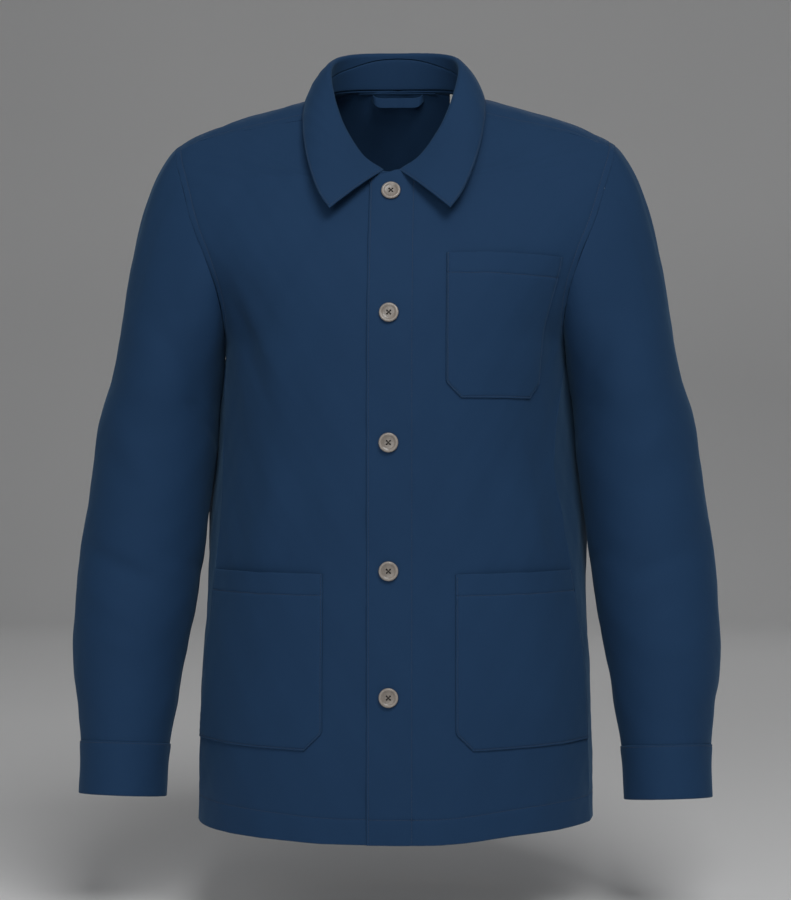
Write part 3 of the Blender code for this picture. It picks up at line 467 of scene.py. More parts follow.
def front_row(side, key):
    """A front's row from the centre line to the side seam or armhole, on the +X side."""
    if key <= NECK_Z:
        start = np.array([0.0, -read(BODY, "level", "front", key), key])
    else:
        start = place_in(NECK, "turn", SHOULDER_TURN * (key - NECK_Z) / NECK_RUN)
    if key > ARMPIT_Z:
        return to_armhole(start, "front", key, 1.0)
    end = seam_place(side, key)
    arrive = direction(read(SIDE_SEAM[side], "level", "front_turn", key), 0.0)
    lead = start + [FRONT_LEAD * end[0], 0.0, 0.0]
    return bezier(start, lead, end - arrive * FRONT_LAND * (end[1] - start[1]), end)


def back_row(side, key):
    """The back's row from the centre line to the side seam or armhole, on the +X side."""
    if key <= BACK_NECK_Z:
        start = np.array([0.0, read(BODY, "level", "back", key), key])
    else:
        share = (key - BACK_NECK_Z) / NECK_RUN
        start = place_in(NECK, "turn", 180.0 - (180.0 - SHOULDER_TURN) * share)
    if key > ARMPIT_Z:
        return to_armhole(start, "back", key, -1.0)
    end = seam_place(side, key)
    turn = read(SIDE_SEAM[side], "level", "back_turn", key)
    half_width = read(BODY, "level", "half_width", key)
    widest = np.array([half_width, read(BODY, "level", "widest_y", key), key])
    way = direction(90.0 - read(BODY, "level", "flare", key), 0.0)
    round_back = bezier(
        start,
        start + [half_width * BACK_ROUND, 0.0, 0.0],
        widest + way * (start[1] - widest[1]) * BACK_ROUND,
        widest,
    )
    handle = np.linalg.norm(widest - end) * SEAM_TURN_IN
    to_seam = bezier(widest, widest - way * handle, end + direction(turn, 0.0) * handle, end)
    return np.concatenate([round_back[:-1], to_seam])


def smoothstep(low, high, value):
    """0 below low, 1 above high, and smooth between."""
    t = np.clip((value - low) / (high - low), 0.0, 1.0)
    return t * t * (3 - 2 * t)


def folds_at(folds, across, height):
    """How far soft folds stand out at places on a piece."""
    total = np.zeros(np.broadcast(across, height).shape)
    names = ("across", "height", "slant", "width", "length", "depth")
    for place, level, slant, width, length, depth in zip(*(folds[name] for name in names)):
        turn = math.radians(slant)
        dx = across - place
        dz = height - level
        along = dz * math.cos(turn) + dx * math.sin(turn)
        beside = dx * math.cos(turn) - dz * math.sin(turn)
        total = total + depth * np.exp(-((beside / width) ** 2) - (along / length) ** 2)
    return total


def uneven_at(across, height, shift=0.0):
    """How far the cloth's gentle unevenness stands out at places on a piece."""
    total = 0.0
    for i in range(len(UNEVEN["height"])):
        wave = across / UNEVEN["across"][i] + height / UNEVEN["along"][i]
        total = total + UNEVEN["height"][i] * np.sin(2 * math.pi * wave + UNEVEN["shift"][i] + shift)
    return total


def mirrored(points):
    """The same points on the wearer's right."""
    return np.asarray(points) * [-1.0, 1.0, 1.0]


# ---- Faces of cloth ----


class Face:
    """The outer face of a piece of cloth: rows of points, and the way out at each."""

    def __init__(self, points, closed=False, flip=False):
        self.points = np.asarray(points, float)
        self.closed = closed
        self.flip = flip
        along = np.gradient(self.points, axis=0)
        if closed:
            across = (np.roll(self.points, -1, axis=1) - np.roll(self.points, 1, axis=1)) / 2
        else:
            across = np.gradient(self.points, axis=1)
        self.out = unit(np.cross(across, along)) * (-1.0 if flip else 1.0)

    def at(self, row, column, lift=0.0):
        """Points at row and column numbers, which needn't be whole, moved out by a lift."""
        rows, columns = self.points.shape[:2]
        row, column, lift = np.broadcast_arrays(row, column, lift)
        row = np.clip(row, 0.0, rows - 1.0)
        low = np.minimum(row.astype(int), rows - 2)
        up = (row - low)[..., None]
        if self.closed:
            left = np.floor(column).astype(int) % columns
            right = (left + 1) % columns
            over = (column - np.floor(column))[..., None]
        else:
            column = np.clip(column, 0.0, columns - 1.0)
            left = np.minimum(column.astype(int), columns - 2)
            right = left + 1
            over = (column - left)[..., None]

        def blend(values):
            below = values[low, left] * (1 - over) + values[low, right] * over
            above = values[low + 1, left] * (1 - over) + values[low + 1, right] * over
            return below * (1 - up) + above * up

        return blend(self.points) + unit(blend(self.out)) * lift[..., None]


PANEL_ROWS_PITCH = 0.0016
PANEL_COLUMNS = 170
LAP_COLUMNS = 14


class Panel(Face):
    """A body panel's outer face, by distance across from the centre line and by row key."""

    def __init__(self, name, side, row, top, lap_lift=0.0):
        self.side = side
        self.lap = row is front_row
        count = int((top - HEM_Z) / PANEL_ROWS_PITCH)
        self.keys = np.linspace(HEM_Z, top, count)
        shares = np.linspace(0.0, 1.0, PANEL_COLUMNS)
        before = np.linspace(-LAP, 0.0, LAP_COLUMNS + 1)[:-1]
        points = []
        lengths = []
        for key in self.keys:
            curve = row(side, key)
            along = distances(curve)
            spots = np.concatenate([before, shares * along[-1]]) if self.lap else shares * along[-1]
            line = np.stack([np.interp(np.abs(spots), along, curve[:, i]) for i in range(3)], axis=-1)
            if self.lap and key <= NECK_Z:
                line[spots < 0, 0] *= -1.0
            elif self.lap:
                start = line[LAP_COLUMNS]
                line[:LAP_COLUMNS] = start + (line[LAP_COLUMNS + 4] - start) * (before[:, None] / spots[-1])
            points.append(line)
            lengths.append(along[-1])
        self.lengths = np.array(lengths)
        points = np.array(points)
        levels = np.broadcast_to(self.keys[:, None], points.shape[:2])
        across = self.lengths[:, None] * shares
        if self.lap:
            across = np.concatenate([np.tile(before, (count, 1)), across], axis=1)
        hem_share = 1 - smoothstep(HEM_Z, HEM_Z + HEM_FADE, levels)
        points[..., 2] += HEM_RISE[side] * hem_share * smoothstep(*HEM_RISE_SPAN, points[..., 0])
        if self.lap:
            near_neck = smoothstep(NECK_Z - NECK_LIFT_BELOW, NECK_Z, levels)
            near_neck = near_neck * smoothstep(*NECK_LIFT_SPAN, np.abs(points[..., 0]))
            points[..., 2] += NECK_LIFT * near_neck
        other = side == "right"
        if other:
            points = mirrored(points)
        flip = other if self.lap else not other
        super().__init__(points, flip=flip)
        place = -across if other and not self.lap else across
        to_edge = self.lengths[:, None] - across
        height = folds_at(FOLDS[name], place, levels) + folds_at(CREASES[name], place, levels)
        height = height * smoothstep(0.0, FOLD_FADE, to_edge)
        if self.lap:
            height = height * smoothstep(BAND_EDGE, BAND_EDGE + 0.03, across)
            height = height + lap_lift * (1 - smoothstep(BAND_EDGE, BAND_EDGE + LAP_EASE, across))
        height = height + uneven_at(place, levels, {"left": 0.0, "right": 2.0}[side] * self.lap)
        super().__init__(points + self.out * height[..., None], flip=flip)

    def length(self, key):
        return np.interp(key, self.keys, self.lengths)

    def spot(self, across, key):
        """Row and column numbers of a place on the panel."""
        row = (key - HEM_Z) / (self.keys[-1] - HEM_Z) * (len(self.keys) - 1)
        column = across / self.length(key) * (PANEL_COLUMNS - 1)
        if self.lap:
            column = np.where(across < 0, (across + LAP) / LAP * LAP_COLUMNS, column + LAP_COLUMNS)
        return row, column

    def on(self, across, key, lift=0.0):
        """Points at places on the panel, moved out by a lift."""
        return self.at(*self.spot(across, key), lift)


# ---- Making meshes ----


def finished(item, finish, node=None):
    """Give a piece its material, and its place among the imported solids."""
    item.data.materials.append(finish)
    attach(item, "root")
    if node:
        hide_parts(node)
    return item


def mesh_object(name, places, faces, uvs=None):
    """An object from points and faces, smooth, with its cloth coordinates in metres."""
    mesh = bpy.data.meshes.new(name)
    mesh.from_pydata([tuple(place) for place in places], [], [tuple(face) for face in faces])
    mesh.update()
    mesh.shade_smooth()
    if uvs is not None:
        layer = mesh.uv_layers.new(name="cloth")
        corners = np.empty(len(mesh.loops), int)
        mesh.loops.foreach_get("vertex_index", corners)
        layer.data.foreach_set("uv", np.asarray(uvs, float)[corners].ravel())
    item = bpy.data.objects.new(name, mesh)
    bpy.context.scene.collection.objects.link(item)
    return item


def rounded(to_edge, radius):
    """How far a face has turned in, close to an edge with this radius."""
    return radius - np.sqrt(radius**2 - (radius - np.clip(to_edge, 0.0, radius)) ** 2)


def shell(name, points, to_edge, wall, uvs, closed=False, flip=False, valid=None, weld=None, sewn=0.0):
    """A sheet of cloth: its outer face through rows of points, its inner face, and folded edges.

    to_edge is each point's distance from the sheet's nearest edge, and 0 along it. weld is a column
    whose points join those of the column before it wherever they meet. sewn is 1 by an edge that is
    seamed to the next piece, with the turned cloth inside, and 0 by a folded edge.
    """
    rows, columns = points.shape[:2]
    out = Face(points, closed, flip).out
    fold = wall / 2 + (SEAM_FOLD - wall / 2) * (np.zeros((rows, columns)) + sewn)
    outer = points - out * rounded(to_edge, fold)[..., None]
    inner = points - out * (wall - rounded(to_edge, wall - fold))[..., None]
    count = rows * columns
    numbers = np.arange(count).reshape(rows, columns)
    inner_numbers = np.where(to_edge <= 0.0, numbers, numbers + count)
    last = columns if closed else columns - 1
    low, left = np.meshgrid(np.arange(rows - 1), np.arange(last), indexing="ij")
    if valid is not None:
        keep = valid[low, left] & valid[low + 1, left] & valid[low, left + 1] & valid[low + 1, left + 1]
        low = low[keep]
        left = left[keep]
    right = (left + 1) % columns

    if weld is not None:
        joined = np.linalg.norm(points[:, weld] - points[:, weld - 1], axis=-1) < 1e-6
        numbers[joined, weld] = numbers[joined, weld - 1]
        inner_numbers[joined, weld] = inner_numbers[joined, weld - 1]
        apart = left != weld - 1
        low = low[apart]
        left = left[apart]
        right = right[apart]

    def quads(which):
        corners = [which[low, left], which[low, right], which[low + 1, right], which[low + 1, left]]
        return np.stack([corner.ravel() for corner in corners], axis=-1)

    outside = quads(numbers)
    inside = quads(inner_numbers)[:, ::-1]
    if flip:
        outside = outside[:, ::-1]
        inside = inside[:, ::-1]
    faces = np.concatenate([outside, inside])
    used, faces = np.unique(faces, return_inverse=True)
    faces = faces.reshape(-1, 4)
    places = np.concatenate([outer.reshape(-1, 3), inner.reshape(-1, 3)])[used]
    flat = np.concatenate([uvs.reshape(-1, 2), uvs.reshape(-1, 2)])[used]
    return mesh_object(name, places, faces, flat)


def groove(distance):
    """How far a line of stitching pulls the cloth in at a distance from it."""
    return -GROOVE_DEPTH * np.exp(-((distance / GROOVE_WIDTH) ** 2))


def pucker(distance, along, shift=0.0):
    """Ripples beside a line of stitching."""
    wave = np.sin(2 * math.pi * along / PUCKER_LENGTH + shift + 2.0 * np.sin(along / 0.037 + shift))
    return PUCKER_HEIGHT * wave * np.exp(-((distance / PUCKER_REACH) ** 2))


EDGE_CLUSTER = np.array([0.0, 0.00022, 0.00055, 0.0009])
LINE_CLUSTER = np.array([-0.0016, -0.0009, -0.0004, 0.0, 0.0004, 0.0009, 0.0016])


def spread(low, high, pitch, lines=(), folded=(True, True)):
    """Places from low to high, closer together at folded ends and at lines of stitching."""
    places = list(np.linspace(low, high, max(int(round((high - low) / pitch)) + 1, 2)))
    near = [line + offset for line in lines for offset in LINE_CLUSTER]
    near += [low + offset for offset in EDGE_CLUSTER] if folded[0] else [low]
    near += [high - offset for offset in EDGE_CLUSTER] if folded[1] else [high]
    places = [place for place in places if min(abs(place - other) for other in near) > pitch * 0.4]
    return np.array(sorted(places + near))


def stitching(name, lines, finish):
    """Stitches along lines of surface points, as one piece. A line is its points and the ways out."""
    places = []
    faces = []
    rings = ((0.0, 0.35, -0.2), (0.25, 1.0, 0.35), (0.75, 1.0, 0.35), (1.0, 0.35, -0.2))
    sides = 5
    for points, out in lines:
        along = distances(points)
        for start in np.arange(STITCH_PITCH / 2, along[-1] - STITCH_LENGTH, STITCH_PITCH):
            spots = [start, start + STITCH_LENGTH]
            ends = np.stack([np.interp(spots, along, points[:, i]) for i in range(3)], axis=-1)
            up = unit(np.array([np.interp(start, along, out[:, i]) for i in range(3)]))
            way = unit(ends[1] - ends[0])
            side = np.cross(way, up)
            first = len(places)
            for share, wide, high in rings:
                centre = ends[0] + (ends[1] - ends[0]) * share + up * THREAD * high
                for i in range(sides):
                    turn = 2 * math.pi * i / sides
                    spoke = side * math.cos(turn) + up * math.sin(turn) * 0.8
                    places.append(centre + spoke * THREAD * wide)
            for ring in range(len(rings) - 1):
                for i in range(sides):
                    j = (i + 1) % sides
                    low = first + ring * sides
                    faces.append((low + i, low + j, low + sides + j, low + sides + i))
            faces.append([first + i for i in range(sides)][::-1])
            faces.append([first + (len(rings) - 1) * sides + i for i in range(sides)])
    item = mesh_object(name, places, faces)
    return finished(item, finish)


def line_on(face, rows, columns, lift=0.0):
    """A line of points on a face, and the ways out along it."""
    base = face.at(rows, columns, 0.0)
    raised = face.at(rows, columns, 0.01)
    return base + (raised - base) * (lift / 0.01), unit(raised - base)


# ---- Finishes ----


class Amount:
    """A number that changes over a surface, as a socket among a finish's nodes."""

    def __init__(self, finish, socket):
        self.finish = finish
        self.socket = socket

    def __add__(self, other):
        return self.finish.sum_of("ADD", self, other)

    __radd__ = __add__

    def __sub__(self, other):
        return self.finish.sum_of("SUBTRACT", self, other)

    def __rsub__(self, other):
        return self.finish.sum_of("SUBTRACT", other, self)

    def __mul__(self, other):
        return self.finish.sum_of("MULTIPLY", self, other)

    __rmul__ = __mul__

    def __pow__(self, other):
        return self.finish.sum_of("POWER", self, other)

    def wave(self):
        """The sine of this amount, in radians."""
        return self.finish.sum_of("SINE", self)

    def clamped(self):
        """This amount kept from 0 to 1."""
        return self.finish.sum_of("MINIMUM", self.finish.sum_of("MAXIMUM", self, 0.0), 1.0)


class Finish:
    """A material and its nodes."""

    def __init__(self, name):
        self.material = bpy.data.materials.new(name)
        self.material.use_nodes = True
        self.nodes = self.material.node_tree.nodes
        self.links = self.material.node_tree.links
        self.shader = self.nodes["Principled BSDF"]

    def node(self, kind, settings=None, sockets=None):
        """A node of a type, with its settings and then its sockets' values or links."""
        made = self.nodes.new(kind)
        for name, value in (settings or {}).items():
            if name == "stops":
                while len(made.color_ramp.elements) < len(value):
                    made.color_ramp.elements.new(1.0)
                for stop, (place, colour) in zip(made.color_ramp.elements, value):
                    stop.position = place
                    stop.color = (*colour, 1.0)
            else:
                setattr(made, name, value)
        self.feed(made, sockets or {})
        return made

    def feed(self, made, sockets):
        """Set or link a node's sockets, by name or number."""
        for name, value in sockets.items():
            if isinstance(value, Amount):
                value = value.socket
            if isinstance(value, bpy.types.NodeSocket):
                self.links.new(value, made.inputs[name])
            else:
                made.inputs[name].default_value = value

    def sum_of(self, operation, first, second=None):
        """A Math node's result."""
        sockets = {0: first} if second is None else {0: first, 1: second}
        made = self.node("ShaderNodeMath", {"operation": operation}, sockets)
        return Amount(self, made.outputs[0])

    def amount(self, socket):
        return Amount(self, socket)

    def noise(self, place, scale, detail=2.0):
        """Soft noise about 0.5, at a scale in patches a metre."""
        made = self.node("ShaderNodeTexNoise", None, {"Vector": place, "Scale": scale, "Detail": detail})
        return self.amount(made.outputs["Fac"])

    def stretched(self, vector, scales):
        """A vector with each part scaled."""
        made = self.node("ShaderNodeVectorMath", {"operation": "MULTIPLY"}, {0: vector, 1: scales})
        return made.outputs[0]

    def mixed(self, share, first, second):
        """A colour between two others."""
        made = self.node("ShaderNodeMix", {"data_type": "RGBA"}, {0: share, 6: first, 7: second})
        return made.outputs[2]

    def bump(self, height, distance, strength=1.0, below=None):
        """A way out bent by a height given in shares of a distance."""
        sockets = {"Height": height, "Distance": distance, "Strength": strength}
        if below is not None:
            sockets["Normal"] = below
        return self.node("ShaderNodeBump", None, sockets).outputs["Normal"]


def colour(red, green, blue):
    """A colour's linear values from its screen values, 0 to 255."""
    values = [value / 255.0 for value in (red, green, blue)]
    return (*[v / 12.92 if v <= 0.04045 else ((v + 0.055) / 1.055) ** 2.4 for v in values], 1.0)


TWILL_PITCH = 0.00085  # between the diagonal ribs of the drill
TWILL_SLOPE = math.radians(63)


def drill_finish(name, deep, bright, rib=0.00005):
    """Cotton drill: fine diagonal ribs of uneven yarn, a little faded where it stands proud."""
    finish = Finish(name)
    coordinates = finish.node("ShaderNodeUVMap", {"uv_map": "cloth"}).outputs["UV"]
    parts = finish.node("ShaderNodeSeparateXYZ", None, {0: coordinates})
    across = finish.amount(parts.outputs["X"])
    along = finish.amount(parts.outputs["Y"])
    solid = finish.node("ShaderNodeTexCoord").outputs["Object"]
    cloudy = finish.noise(solid, 9.0, 3.0)
    yarn = finish.noise(coordinates, 900.0, 1.0)
    slub = finish.noise(finish.stretched(coordinates, (1400.0, 90.0, 1.0)), 1.0, 2.0)
    diagonal = across * math.cos(TWILL_SLOPE) + along * math.sin(TWILL_SLOPE)
    crossing = along * math.cos(TWILL_SLOPE) - across * math.sin(TWILL_SLOPE)
    ribs = (diagonal * (2 * math.pi / TWILL_PITCH) + yarn * 1.6).wave() * 0.5 + 0.5
    picks = (crossing * (2 * math.pi / (TWILL_PITCH * 1.7)) + ribs * 1.2).wave() * 0.5 + 0.5
    weave = ribs * 0.75 + picks * 0.25
    shade = (weave * 0.30 + yarn * 0.25 + slub * 0.20 + cloudy * 0.45 - 0.10).clamped()
    finish.feed(
        finish.shader,
        {
            "Base Color": finish.mixed(shade, deep, bright),
            "Roughness": 0.86 - weave * 0.06,
            "Specular IOR Level": 0.16,
            "Sheen Weight": 0.12,
            "Sheen Roughness": 0.45,
            "Sheen Tint": (0.30, 0.60, 0.95, 1.0),
            "Normal": finish.bump(weave + yarn * 0.35, rib),
        },
    )
    return finish.material


def horn_finish(name):
    """Taupe horn, turned and polished, with soft streaks, and a painted highlight that makes its raised rim
    paler.
    """
    finish = Finish(name)
    solid = finish.node("ShaderNodeTexCoord").outputs["Object"]
    parts = finish.node("ShaderNodeSeparateXYZ", None, {0: solid})
    beside = finish.amount(parts.outputs["X"])
    above = finish.amount(parts.outputs["Y"])
    reach = (beside * beside + above * above) ** 0.5
    clouds = finish.noise(finish.stretched(solid, (260.0, 90.0, 260.0)), 1.0, 4.0)
    specks = finish.noise(solid, 1500.0, 2.0)
    # painted highlight: the raised rim is coloured paler, as if it caught the light
    rim_highlight = ((reach - BUTTON_RADIUS * 0.66) * (1.0 / (BUTTON_RADIUS * 0.2))).clamped()
    shade = (clouds * 0.9 + specks * 0.2 - 0.25 + rim_highlight * 0.25).clamped()
    finish.feed(
        finish.shader,
        {
            "Base Color": finish.mixed(shade, colour(104, 97, 90), colour(164, 155, 146)),
            "Roughness": 0.30 + specks * 0.12,
            "Coat Weight": 0.25,
            "Coat Roughness": 0.15,
            "Normal": finish.bump(clouds + specks * 0.4, 0.00005),
        },
    )
    return finish.material


def thread_finish(name, deep, bright):
    """Twisted sewing thread."""
    finish = Finish(name)
    solid = finish.node("ShaderNodeTexCoord").outputs["Object"]
    twist = finish.noise(solid, 1800.0, 2.0)
    finish.feed(
        finish.shader,
        {
            "Base Color": finish.mixed(twist, deep, bright),
            "Roughness": 0.62 + twist * 0.1,
            "Sheen Weight": 0.1,
            "Normal": finish.bump(twist, 0.00008),
        },
    )
    return finish.material


def floor_finish(name):
    """Pale matte floor."""
    finish = Finish(name)
    solid = finish.node("ShaderNodeTexCoord").outputs["Object"]
    cloudy = finish.noise(solid, 0.8, 3.0)
    finish.feed(
        finish.shader,
        {
            "Base Color": finish.mixed(cloudy, colour(226, 226, 226), colour(234, 234, 234)),
            "Roughness": 0.9,
        },
    )
    return finish.material


drill = drill_finish("blue_drill", colour(23, 49, 79), colour(30, 60, 93))
thread = thread_finish("blue_thread", colour(24, 42, 66), colour(36, 58, 86))
dark_thread = thread_finish("brown_thread", colour(30, 26, 22), colour(48, 42, 35))
white_tape = thread_finish("white_tape", colour(205, 205, 200), colour(228, 228, 224))
horn = horn_finish("taupe_horn")


# ---- Body panels ----

PANEL_PITCH = 0.0040
FRONT_TOP = NECK_Z + NECK_RUN
BACK_TOP = BACK_NECK_Z + NECK_RUN
HEM_BEND = 0.003  # how much further the hem's stitching lies from its edge at the side seams
OUTER_BAND = 0.012  # the strip along a panel's outer edge whose columns keep their distance from it

SEWN_GAP = 0.00004  # half the gap along a sewn seam

lap_lift = WALL + SEAM_GAP + 0.0002
front_panels = {
    "left": Panel("front_left", "left", front_row, FRONT_TOP, lap_lift),
    "right": Panel("front_right", "right", front_row, FRONT_TOP),
}
back_panels = {side: Panel("back", side, back_row, BACK_TOP) for side in ("left", "right")}


def hem_levels(keys, across):
    """Heights of a panel's rows, which bend with the hem's stitching."""
    line = HEM_Z + HEM_TURNING
    near = smoothstep(HEM_Z, line, keys) * (1 - smoothstep(line, line + 0.06, keys))
    return keys[:, None] + HEM_BEND * smoothstep(0.03, 0.20, np.abs(across)) * near[:, None]


def by_seams(keys, to_outer, to_neck):
    """1 by a panel's side, armhole, shoulder and neck seams, and 0 by its hem and free edge."""
    levels = keys[:, None] + np.zeros_like(to_outer)
    near = np.minimum(np.minimum(to_outer, to_neck), keys[-1] - levels)
    return smoothstep(0.010, 0.004, near) * smoothstep(0.0, 0.003, levels - HEM_Z)


def seams_in(keys, across, to_outer, top):
    """How far the hem and armhole seams draw a panel in, with their ripples."""
    levels = keys[:, None]
    hem = np.abs(levels - HEM_Z - HEM_TURNING)
    upper = smoothstep(ARMPIT_Z - 0.004, ARMPIT_Z + 0.004, levels)
    armhole = np.abs(to_outer - SEAM_STITCH)
    shoulder = np.abs(top - levels)
    return (
        groove(hem)
        + pucker(hem, across)
        + (groove(armhole) + pucker(armhole, levels, 1.3)) * upper
        + pucker(to_outer, levels, 0.4) * (1 - upper)
        + pucker(shoulder, across, 2.2)
    )


def front_columns(length):
    """Places across a front, from the lap's edge to the side seam or armhole."""
    lap = spread(-LAP, 0.0, PANEL_PITCH, [EDGE_STITCH - LAP], (True, False))
    band = spread(0.0, BAND_EDGE + 0.004, PANEL_PITCH, [BAND_EDGE], (True, False))
    outer = spread(length - OUTER_BAND, length, PANEL_PITCH, [length - SEAM_STITCH], (False, True))
    middle = np.linspace(band[-1], outer[0], FRONT_MIDDLE)[1:-1]
    return np.concatenate([lap[:-1], band, middle, outer])


FRONT_MIDDLE = 52
BACK_MIDDLE = 62


def make_front(side):
    panel = front_panels[side]
    keys = spread(HEM_Z, FRONT_TOP - SEWN_GAP, PANEL_PITCH, [HEM_Z + HEM_TURNING])
    keys = np.array(sorted([key for key in keys if abs(key - NECK_Z) > 0.001] + list(NECK_Z - EDGE_CLUSTER)))
    lengths = panel.length(keys) - SEWN_GAP
    across = np.array([front_columns(length) for length in lengths])
    to_outer = lengths[:, None] - across
    levels = hem_levels(keys, across)
    upper = keys[:, None] > NECK_Z
    to_edge = np.where(upper, across, across + LAP)
    to_edge = np.where(~upper & (across <= 0), np.minimum(to_edge, NECK_Z - keys[:, None]), to_edge)
    to_edge = np.minimum(to_edge, to_outer)
    to_edge = np.minimum(to_edge, np.minimum(keys - HEM_Z, keys[-1] - keys)[:, None])
    lift = seams_in(keys, across, to_outer, FRONT_TOP)
    facing = np.abs(across - BAND_EDGE)
    below_neck = 1 - smoothstep(NECK_Z, NECK_Z + 0.01, levels)
    if side == "left":
        free_edge = np.abs(across + LAP - EDGE_STITCH)
        lift = lift + (groove(facing) + groove(free_edge) * 0.6) * below_neck
        lift = lift + pucker(facing, levels, 0.7) * below_neck
    points = panel.on(across, levels, lift)
    place = across if side == "left" else -across
    uvs = np.stack([place, levels], axis=-1)
    valid = (across >= 0) | ~upper
    sewn = by_seams(keys, to_outer, np.where(upper, across, np.inf))
    item = shell("front_" + side, points, to_edge, WALL, uvs, flip=panel.flip, valid=valid, sewn=sewn)
    return finished(item, drill, "front_" + side)


def make_back():
    keys = spread(HEM_Z, BACK_TOP - SEWN_GAP, PANEL_PITCH, [HEM_Z + HEM_TURNING, BACK_TOP - SEAM_STITCH])
    apart = [k for k in keys if abs(k - BACK_NECK_Z) > 0.001]
    keys = np.array(sorted(apart + list(BACK_NECK_Z - EDGE_CLUSTER)))
    upper = keys[:, None] > BACK_NECK_Z
    halves = []
    for side, panel in back_panels.items():
        lengths = panel.length(keys) - SEWN_GAP
        across = []
        for length in lengths:
            near = spread(0.0, OUTER_BAND, PANEL_PITCH, (), (True, False))
            outer = spread(length - OUTER_BAND, length, PANEL_PITCH, [length - SEAM_STITCH], (False, True))
            middle = np.linspace(near[-1], outer[0], BACK_MIDDLE)[1:-1]
            across.append(np.concatenate([near, middle, outer]))
        across = np.array(across)
        to_outer = lengths[:, None] - across
        levels = hem_levels(keys, across)
        to_edge = np.minimum(to_outer, np.minimum(keys - HEM_Z, keys[-1] - keys)[:, None])
        to_edge = np.where(upper, np.minimum(to_edge, across), to_edge)
        near_neck = ~upper & (across <= 0)
        to_edge = np.where(near_neck, np.minimum(to_edge, BACK_NECK_Z - keys[:, None]), to_edge)
        shoulder = np.abs(BACK_TOP - SEAM_STITCH - levels)
        lift = seams_in(keys, across, to_outer, BACK_TOP) + groove(shoulder)
        points = panel.on(across, levels, lift)
        place = across if side == "left" else -across
        sewn = by_seams(keys, to_outer, np.where(upper, across, np.inf))
        halves.append([points, to_edge, np.stack([place, levels], axis=-1), sewn])
    left, right = halves
    points, to_edge, uvs, sewn = (
        np.concatenate([right[i][:, ::-1], left[i]], axis=1) for i in range(4)
    )
    middle = points.shape[1] // 2
    points[:, middle - 1 : middle + 1][keys <= BACK_NECK_Z, :, 0] = 0.0
    item = shell("back", points, to_edge, WALL, uvs, flip=True, weld=middle, sewn=sewn)
    return finished(item, drill, "back")


# ---- Pieces measured from their own edges ----


def measured(points, starts, middles, ends, axis):
    """Points at set distances from both ends of every line along an axis, and evenly between.

    Gives the points and each one's distance from its line's start and end.
    """
    lines = np.moveaxis(points, axis, 0)
    steps = np.linalg.norm(np.diff(lines, axis=0), axis=-1)
    along = np.concatenate([np.zeros((1, lines.shape[1])), np.cumsum(steps, axis=0)])
    starts = np.asarray(starts, float)
    ends = np.asarray(ends, float)
    count = len(starts) + middles + len(ends)
    found = np.empty((count, lines.shape[1], 3))
    places = np.empty((count, lines.shape[1]))
    for i, total in enumerate(along[-1]):
        between = np.linspace(starts[-1], total - ends[-1], middles + 2)[1:-1]
        spots = np.concatenate([starts, between, total - ends[::-1]])
        places[:, i] = spots
        for k in range(3):
            found[:, i, k] = np.interp(spots, along[:, i], lines[:, i, k])
    to_end = along[-1] - places
    return tuple(np.moveaxis(values, 0, axis) for values in (found, places, to_end))


def near_edge(reach, lines=(), pitch=0.0025):
    """Distances from an edge: close together at the fold and at its lines of stitching."""
    return spread(0.0, reach, pitch, lines, (True, False))


class Cut:
    """A piece of cloth cut to its edges: its points, and each one's distance from every edge."""

    def __init__(self, face, rows, columns):
        """rows and columns are each the distances from one edge, a count between, and from the other."""
        points = face.points
        if columns is not None:
            points = measured(points, *columns, axis=1)[0]
        points, self.from_first, self.from_last = measured(points, *rows, axis=0)
        if columns is None:
            self.from_left = self.from_right = np.full(points.shape[:2], np.inf)
        else:
            steps = np.linalg.norm(np.diff(points, axis=1), axis=-1)
            self.from_left = np.concatenate([np.zeros((len(steps), 1)), np.cumsum(steps, axis=1)], axis=1)
            self.from_right = self.from_left[:, -1:] - self.from_left
        self.face = Face(points, face.closed, face.flip)
        sides = np.minimum(self.from_left, self.from_right)
        self.to_edge = np.minimum(sides, np.minimum(self.from_first, self.from_last))

    def lifted(self, lift):
        """The cut points moved out, as a new face."""
        points = self.face.points + self.face.out * np.asarray(lift)[..., None]
        return Face(points, self.face.closed, self.face.flip)

    def flat_places(self):
        """Cloth coordinates: across the middle row, and along the first column's way."""
        points = self.face.points
        steps = np.linalg.norm(np.diff(points, axis=1), axis=-1)
        across = np.concatenate([np.zeros((len(steps), 1)), np.cumsum(steps, axis=1)], axis=1)
        across = across - across[:, across.shape[1] // 2][:, None]
        return np.stack([across, -self.from_first], axis=-1)


def row_line(cut, face, distance, from_last=False, lift=0.0):
    """A line of surface points at a distance from a piece's first or last edge."""
    away = cut.from_last if from_last else cut.from_first
    count = face.points.shape[1]
    rows = np.array([np.interp(distance, *ordered(away[:, i])) for i in range(count)])
    columns = np.arange(count, dtype=float)
    if face.closed:
        rows = np.append(rows, rows[0])
        columns = np.append(columns, count)
    return line_on(face, rows, columns, lift)


def column_line(cut, face, distance, from_right=False, first=0.0, last=0.0, lift=0.0):
    """A line of surface points at a distance from a piece's left or right edge."""
    away = cut.from_right if from_right else cut.from_left
    rows = np.arange(face.points.shape[0], dtype=float)
    columns = np.array([np.interp(distance, *ordered(away[i])) for i in range(len(rows))])
    middle = face.points.shape[1] // 2
    keep = (cut.from_first[:, middle] >= first) & (cut.from_last[:, middle] >= last)
    return line_on(face, rows[keep], columns[keep], lift)


def ordered(values):
    """Rising values and their numbers, for looking a number up by its value."""
    numbers = np.arange(len(values), dtype=float)
    return (values, numbers) if values[-1] > values[0] else (values[::-1], numbers[::-1])


# ---- Sleeves and cuffs ----

